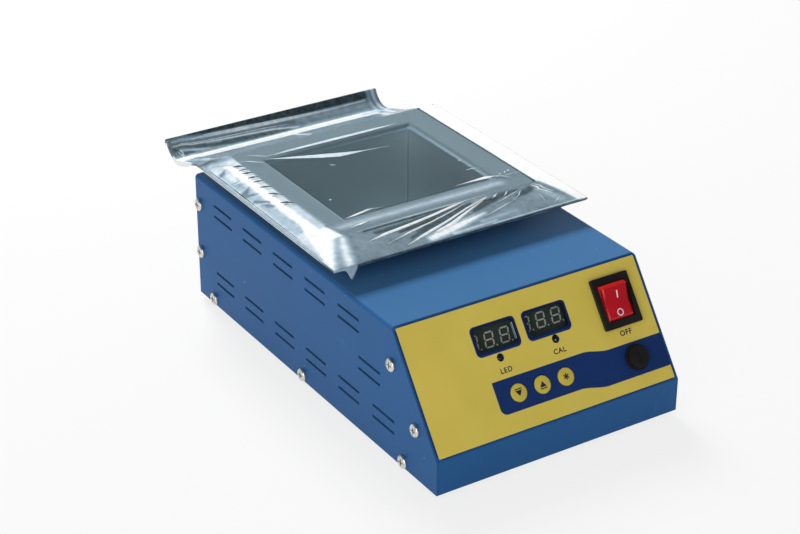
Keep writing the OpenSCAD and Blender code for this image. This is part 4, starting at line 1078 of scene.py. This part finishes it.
def crease(to_tone, rise, *path):
    """A ridge along a path of (x, y, half width), in millimetres: rings of four corners, drawn out
    to a point at both ends."""
    first = len(crease_points)
    places = []
    for start, end in zip(path, path[1:]):
        count = max(2, round(math.dist(start[:2], end[:2]) / ring_pitch))
        for k in range(count):
            places.append([a + (b - a) * (k / count) for a, b in zip(start, end)])
    places.append(path[-1])
    for k, (px, py, wide) in enumerate(places):
        ahead = places[min(k + 1, len(places) - 1)]
        behind_it = places[max(k - 1, 0)]
        run = Vector((ahead[0] - behind_it[0], ahead[1] - behind_it[1])).normalized()
        wide = max(wide, 0.06)
        crest = crease_foot + rise * min(1, wide / 0.3)
        for across, up in ((-wide, crease_foot), (0, crest), (wide, crease_foot), (0, 0.10)):
            corner_x, corner_y = px - run.y * across, py + run.x * across
            lies = float(film_height(np.array(corner_x), np.array(corner_y)))
            crease_points.append((corner_x * MM, corner_y * MM, (lies + up) * MM))
            crease_tones.append(to_tone)
    last = first + 4 * (len(places) - 1)
    for base in range(first, last, 4):
        for side, turned in ((0, 1), (1, 2), (2, 3), (3, 0)):
            crease_faces.append((base + side, base + turned, base + 4 + turned, base + 4 + side))
    crease_faces.extend([(first + 3, first + 2, first + 1, first), (last, last + 1, last + 2, last + 3)])


# the ridges' tones: white and pale are painted highlights, mid and dark are painted shade
white, pale, mid, dark = 0.95, 0.84, 0.66, 0.04
for to_tone, rise, *path in (
    # over the rear edge of the bath
    (pale, 0.25, (-48.6, 90.3, 0.1), (-32, 90.5, 1.1), (0, 90.2, 1.5), (28, 90.0, 1.2),
     (45.3, 90.2, 0.2)),
    (pale, 0.2, (-51.7, 87.2, 0.1), (-36, 80.4, 1.3), (-20, 73.6, 2.4), (-10, 69.8, 2.7),
     (-1, 67.9, 1.5), (8, 66.6, 0.3)),
    (mid, 0.1, (6, 66.9, 0.5), (14, 65.7, 0.4), (24, 63.9, 0.1)),
    (white, 0.15, (-57.8, 97.4, 0.1), (-52, 93.2, 0.35), (-48.4, 90.4, 0.2)),
    (white, 0.15, (-65.5, 92.8, 0.1), (-60, 88.2, 0.4), (-54.5, 83.7, 0.1)),
    (pale, 0.15, (-15.4, 109.3, 0.1), (-7.2, 106.4, 0.3)),
    (white, 0.1, (-22, 60.1, 0.1), (-20.4, 59.1, 0.3), (-18.8, 58.1, 0.1)),
    (white, 0.2, (-47.2, 18.1, 0.2), (-46.5, 17.8, 0.5), (-45.8, 17.5, 0.2)),
    # over its front edge
    (white, 0.2, (-52.6, -8.2, 0.1), (-44, -7.0, 0.9), (-36, -5.3, 0.8), (-31, -4.5, 0.1)),
    (pale, 0.1, (-36.2, -5.1, 0.3), (-24.9, -6.8, 0.1)),
    (white, 0.2, (-56.7, -19.5, 0.1), (-48, -18.6, 0.8), (-40.4, -17.4, 0.1)),
    (dark, 0.05, (-30.0, -7.4, 0.1), (0, -8.6, 0.25), (22.1, -8.2, 0.1)),
    (white, 0.25, (25.9, -5.8, 0.1), (38, -5.6, 0.8), (47, -5.8, 1.5), (52.8, -6.5, 0.6)),
    (pale, 0.15, (52.0, -6.4, 0.5), (56.5, -8.6, 0.4), (60.9, -13.9, 0.1)),
    (white, 0.1, (43.8, 9.7, 0.1), (47, 9.2, 0.35), (51.5, 8.1, 0.1)),
    (white, 0.1, (47.0, 23.6, 0.1), (47.8, 23.2, 0.4), (48.6, 22.8, 0.1)),
    (mid, 0.1, (53.4, -8.1, 0.2), (60, -9.4, 0.4), (69.7, -10.0, 0.2)),
    (white, 0.1, (56.6, -6.4, 0.1), (57.6, -6.0, 0.4), (58.4, -5.4, 0.1)),
    (pale, 0.1, (60.2, -6.6, 0.1), (61.6, -5.6, 0.5), (62.4, -4.6, 0.1)),
    (white, 0.1, (64.0, -5.4, 0.1), (64.8, -4.4, 0.4), (66.2, -4.0, 0.1)),
    # fans across the front strip
    (pale, 0.1, (-55.5, -26.0, 0.1), (-20, -25.2, 0.35), (4.3, -25.1, 0.3), (34.4, -25.6, 0.15)),
    (white, 0.3, (-56, -38.4, 0.2), (-41, -35.2, 1.1), (-25, -33.2, 1.1), (-8, -30.6, 1.0),
     (8, -27.4, 0.9), (18, -25.6, 0.4)),
    (white, 0.3, (-46, -44.8, 0.15), (-29.5, -40.4, 0.7), (-10, -36.0, 0.6), (6, -31.6, 0.5),
     (17, -28.0, 0.2)),
    (white, 0.3, (-36, -50.6, 0.3), (-21, -45.6, 1.0), (-4, -40.4, 0.8), (16, -32.8, 0.7),
     (33.0, -27.4, 0.4)),
    (white, 0.3, (-14, -46.6, 0.8), (-2, -43.6, 1.4), (8, -39.0, 0.9), (20, -33.6, 0.6),
     (33, -28.0, 0.3)),
    (white, 0.3, (35.2, -30.4, 0.15), (38, -28.8, 0.6), (41.4, -26.8, 0.15)),
    (white, 0.3, (43.4, -31.0, 0.15), (45.8, -29.4, 0.5), (48.2, -27.2, 0.1)),
    (pale, 0.3, (30, -38.0, 0.15), (41, -34.2, 0.5), (50, -31.2, 0.45), (59.5, -27.8, 0.2)),
    (pale, 0.3, (45, -38.2, 0.15), (51.4, -34.6, 0.4), (55.4, -30.4, 0.2)),
    (pale, 0.3, (20, -45.6, 0.3), (34, -41.4, 0.6), (50, -37.2, 0.15)),
    (pale, 0.2, (2, -43.4, 0.3), (12, -41.6, 0.5), (22, -39.0, 0.15)),
    (dark, 0.05, (-52, -27.4, 0.1), (-20, -27.0, 0.35), (10, -26.6, 0.1)),
    (dark, 0.05, (23, -29.6, 0.1), (30, -30.2, 0.5), (37.5, -31.6, 0.1)),
    (dark, 0.05, (-33, -37.9, 0.15), (-12, -35.2, 0.5), (8, -31.0, 0.15)),
    # the crumpled corner at the right of the front strip
    (white, 0.3, (64.6, -28.2, 0.2), (66.8, -31.4, 0.6), (66.2, -34.6, 0.4), (68.6, -37.4, 0.5),
     (70.8, -41.6, 0.2)),
    (white, 0.2, (66.4, -27.0, 0.1), (69.4, -30.8, 0.5), (69.8, -35.0, 0.3), (72.4, -40.0, 0.2)),
    (mid, 0.2, (63.0, -38.6, 0.2), (62.6, -43.2, 0.5), (61.8, -46.6, 0.1)),
    (pale, 0.2, (66.0, -50.6, 0.1), (70.0, -48.2, 0.4), (74.6, -45.0, 0.1)),
    # the gutter
    (white, 0.1, (-85, 147.2, 0.1), (-50, 144.9, 0.25), (-14, 143.1, 0.25), (1, 140.2, 0.1)),
    (pale, 0.1, (-84, 147.6, 0.1), (-56, 146.3, 0.2), (-20, 145.4, 0.2), (-4, 144.2, 0.1)),
    (pale, 0.1, (-62, 149.0, 0.1), (-30, 148.2, 0.4), (1, 147.5, 0.35), (20, 147.2, 0.1)),
    (white, 0.2, (-80.6, 144.8, 0.2), (-79.8, 142.6, 0.3), (-80.2, 139.4, 0.2)),
    (pale, 0.1, (-82, 136.4, 0.1), (-81, 140.2, 0.3), (-82.4, 143.6, 0.1)),
    # the strip on the left: a thin painted highlight all along it, beside a line of painted shade
    (pale, 0.1, (-85.9, 104, 0.1), (-85.8, 60, 0.2), (-85.7, 28, 0.2), (-85.8, 0, 0.15),
     (-85.9, -48, 0.1)),
    (dark, 0.1, (-85.0, 97, 0.06), (-85.2, 88, 0.2), (-84.9, 66, 0.15), (-85.1, 56, 0.35),
     (-85.0, 44, 0.12)),
    (dark, 0.1, (-85.0, 44, 0.1), (-85.2, 20, 0.14), (-85.1, -10, 0.08)),
    (pale, 0.2, (-81.8, 100, 0.1), (-77.4, 94.4, 0.5), (-71.6, 90.6, 0.1)),
    (white, 0.2, (-83.4, 97.4, 0.1), (-79.0, 91.0, 0.4), (-75.4, 87.8, 0.1)),
    (mid, 0.2, (-77.6, 71.4, 0.1), (-80.6, 70.6, 0.35), (-83.4, 71.0, 0.1)),
    (mid, 0.2, (-77.8, 68.2, 0.1), (-80.4, 67.0, 0.35), (-83.2, 67.4, 0.1)),
    (mid, 0.2, (-78.4, 65.4, 0.1), (-81.4, 65.0, 0.3), (-83.2, 64.2, 0.1)),
):
    crease(to_tone, rise, *path)
# short folds of painted shade with a painted highlight on their edge, one after the other along
# the left of the flange
for tick_y, slant, wide in (
    (87.2, 1.6, 1.2), (81.4, 0.6, 0.5), (76.0, 1.0, 0.9), (69.0, 0.9, 0.8), (62.6, 1.0, 0.7),
    (53.6, 1.6, 0.9), (42.2, 3.0, 0.9), (39.4, 1.2, 0.6), (28.6, 2.4, 1.1), (25.8, 1.0, 0.6),
):
    crease(
        0.14, 0.1,
        (-67.0, tick_y - slant * 1.3, 0.3), (-69.8, tick_y, wide * 1.25), (-72.8, tick_y + slant, 0.3),
    )
    crease(
        white, 0.3,
        (-67.0, tick_y - slant - 2.6, 0.15), (-69.4, tick_y - 2.8, wide * 0.8), (-72.0, tick_y - 1.8, 0.3),
    )
crease_mesh = bpy.data.meshes.new("film_creases")
crease_mesh.from_pydata(crease_points, [], crease_faces)
keep_tone(crease_mesh, crease_tones, [0.88] * len(crease_tones))
crease_mesh.materials.append(film_finish)
film_creases = shown_mesh("film_creases", crease_mesh)
face_outward()
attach(film_creases, "film")
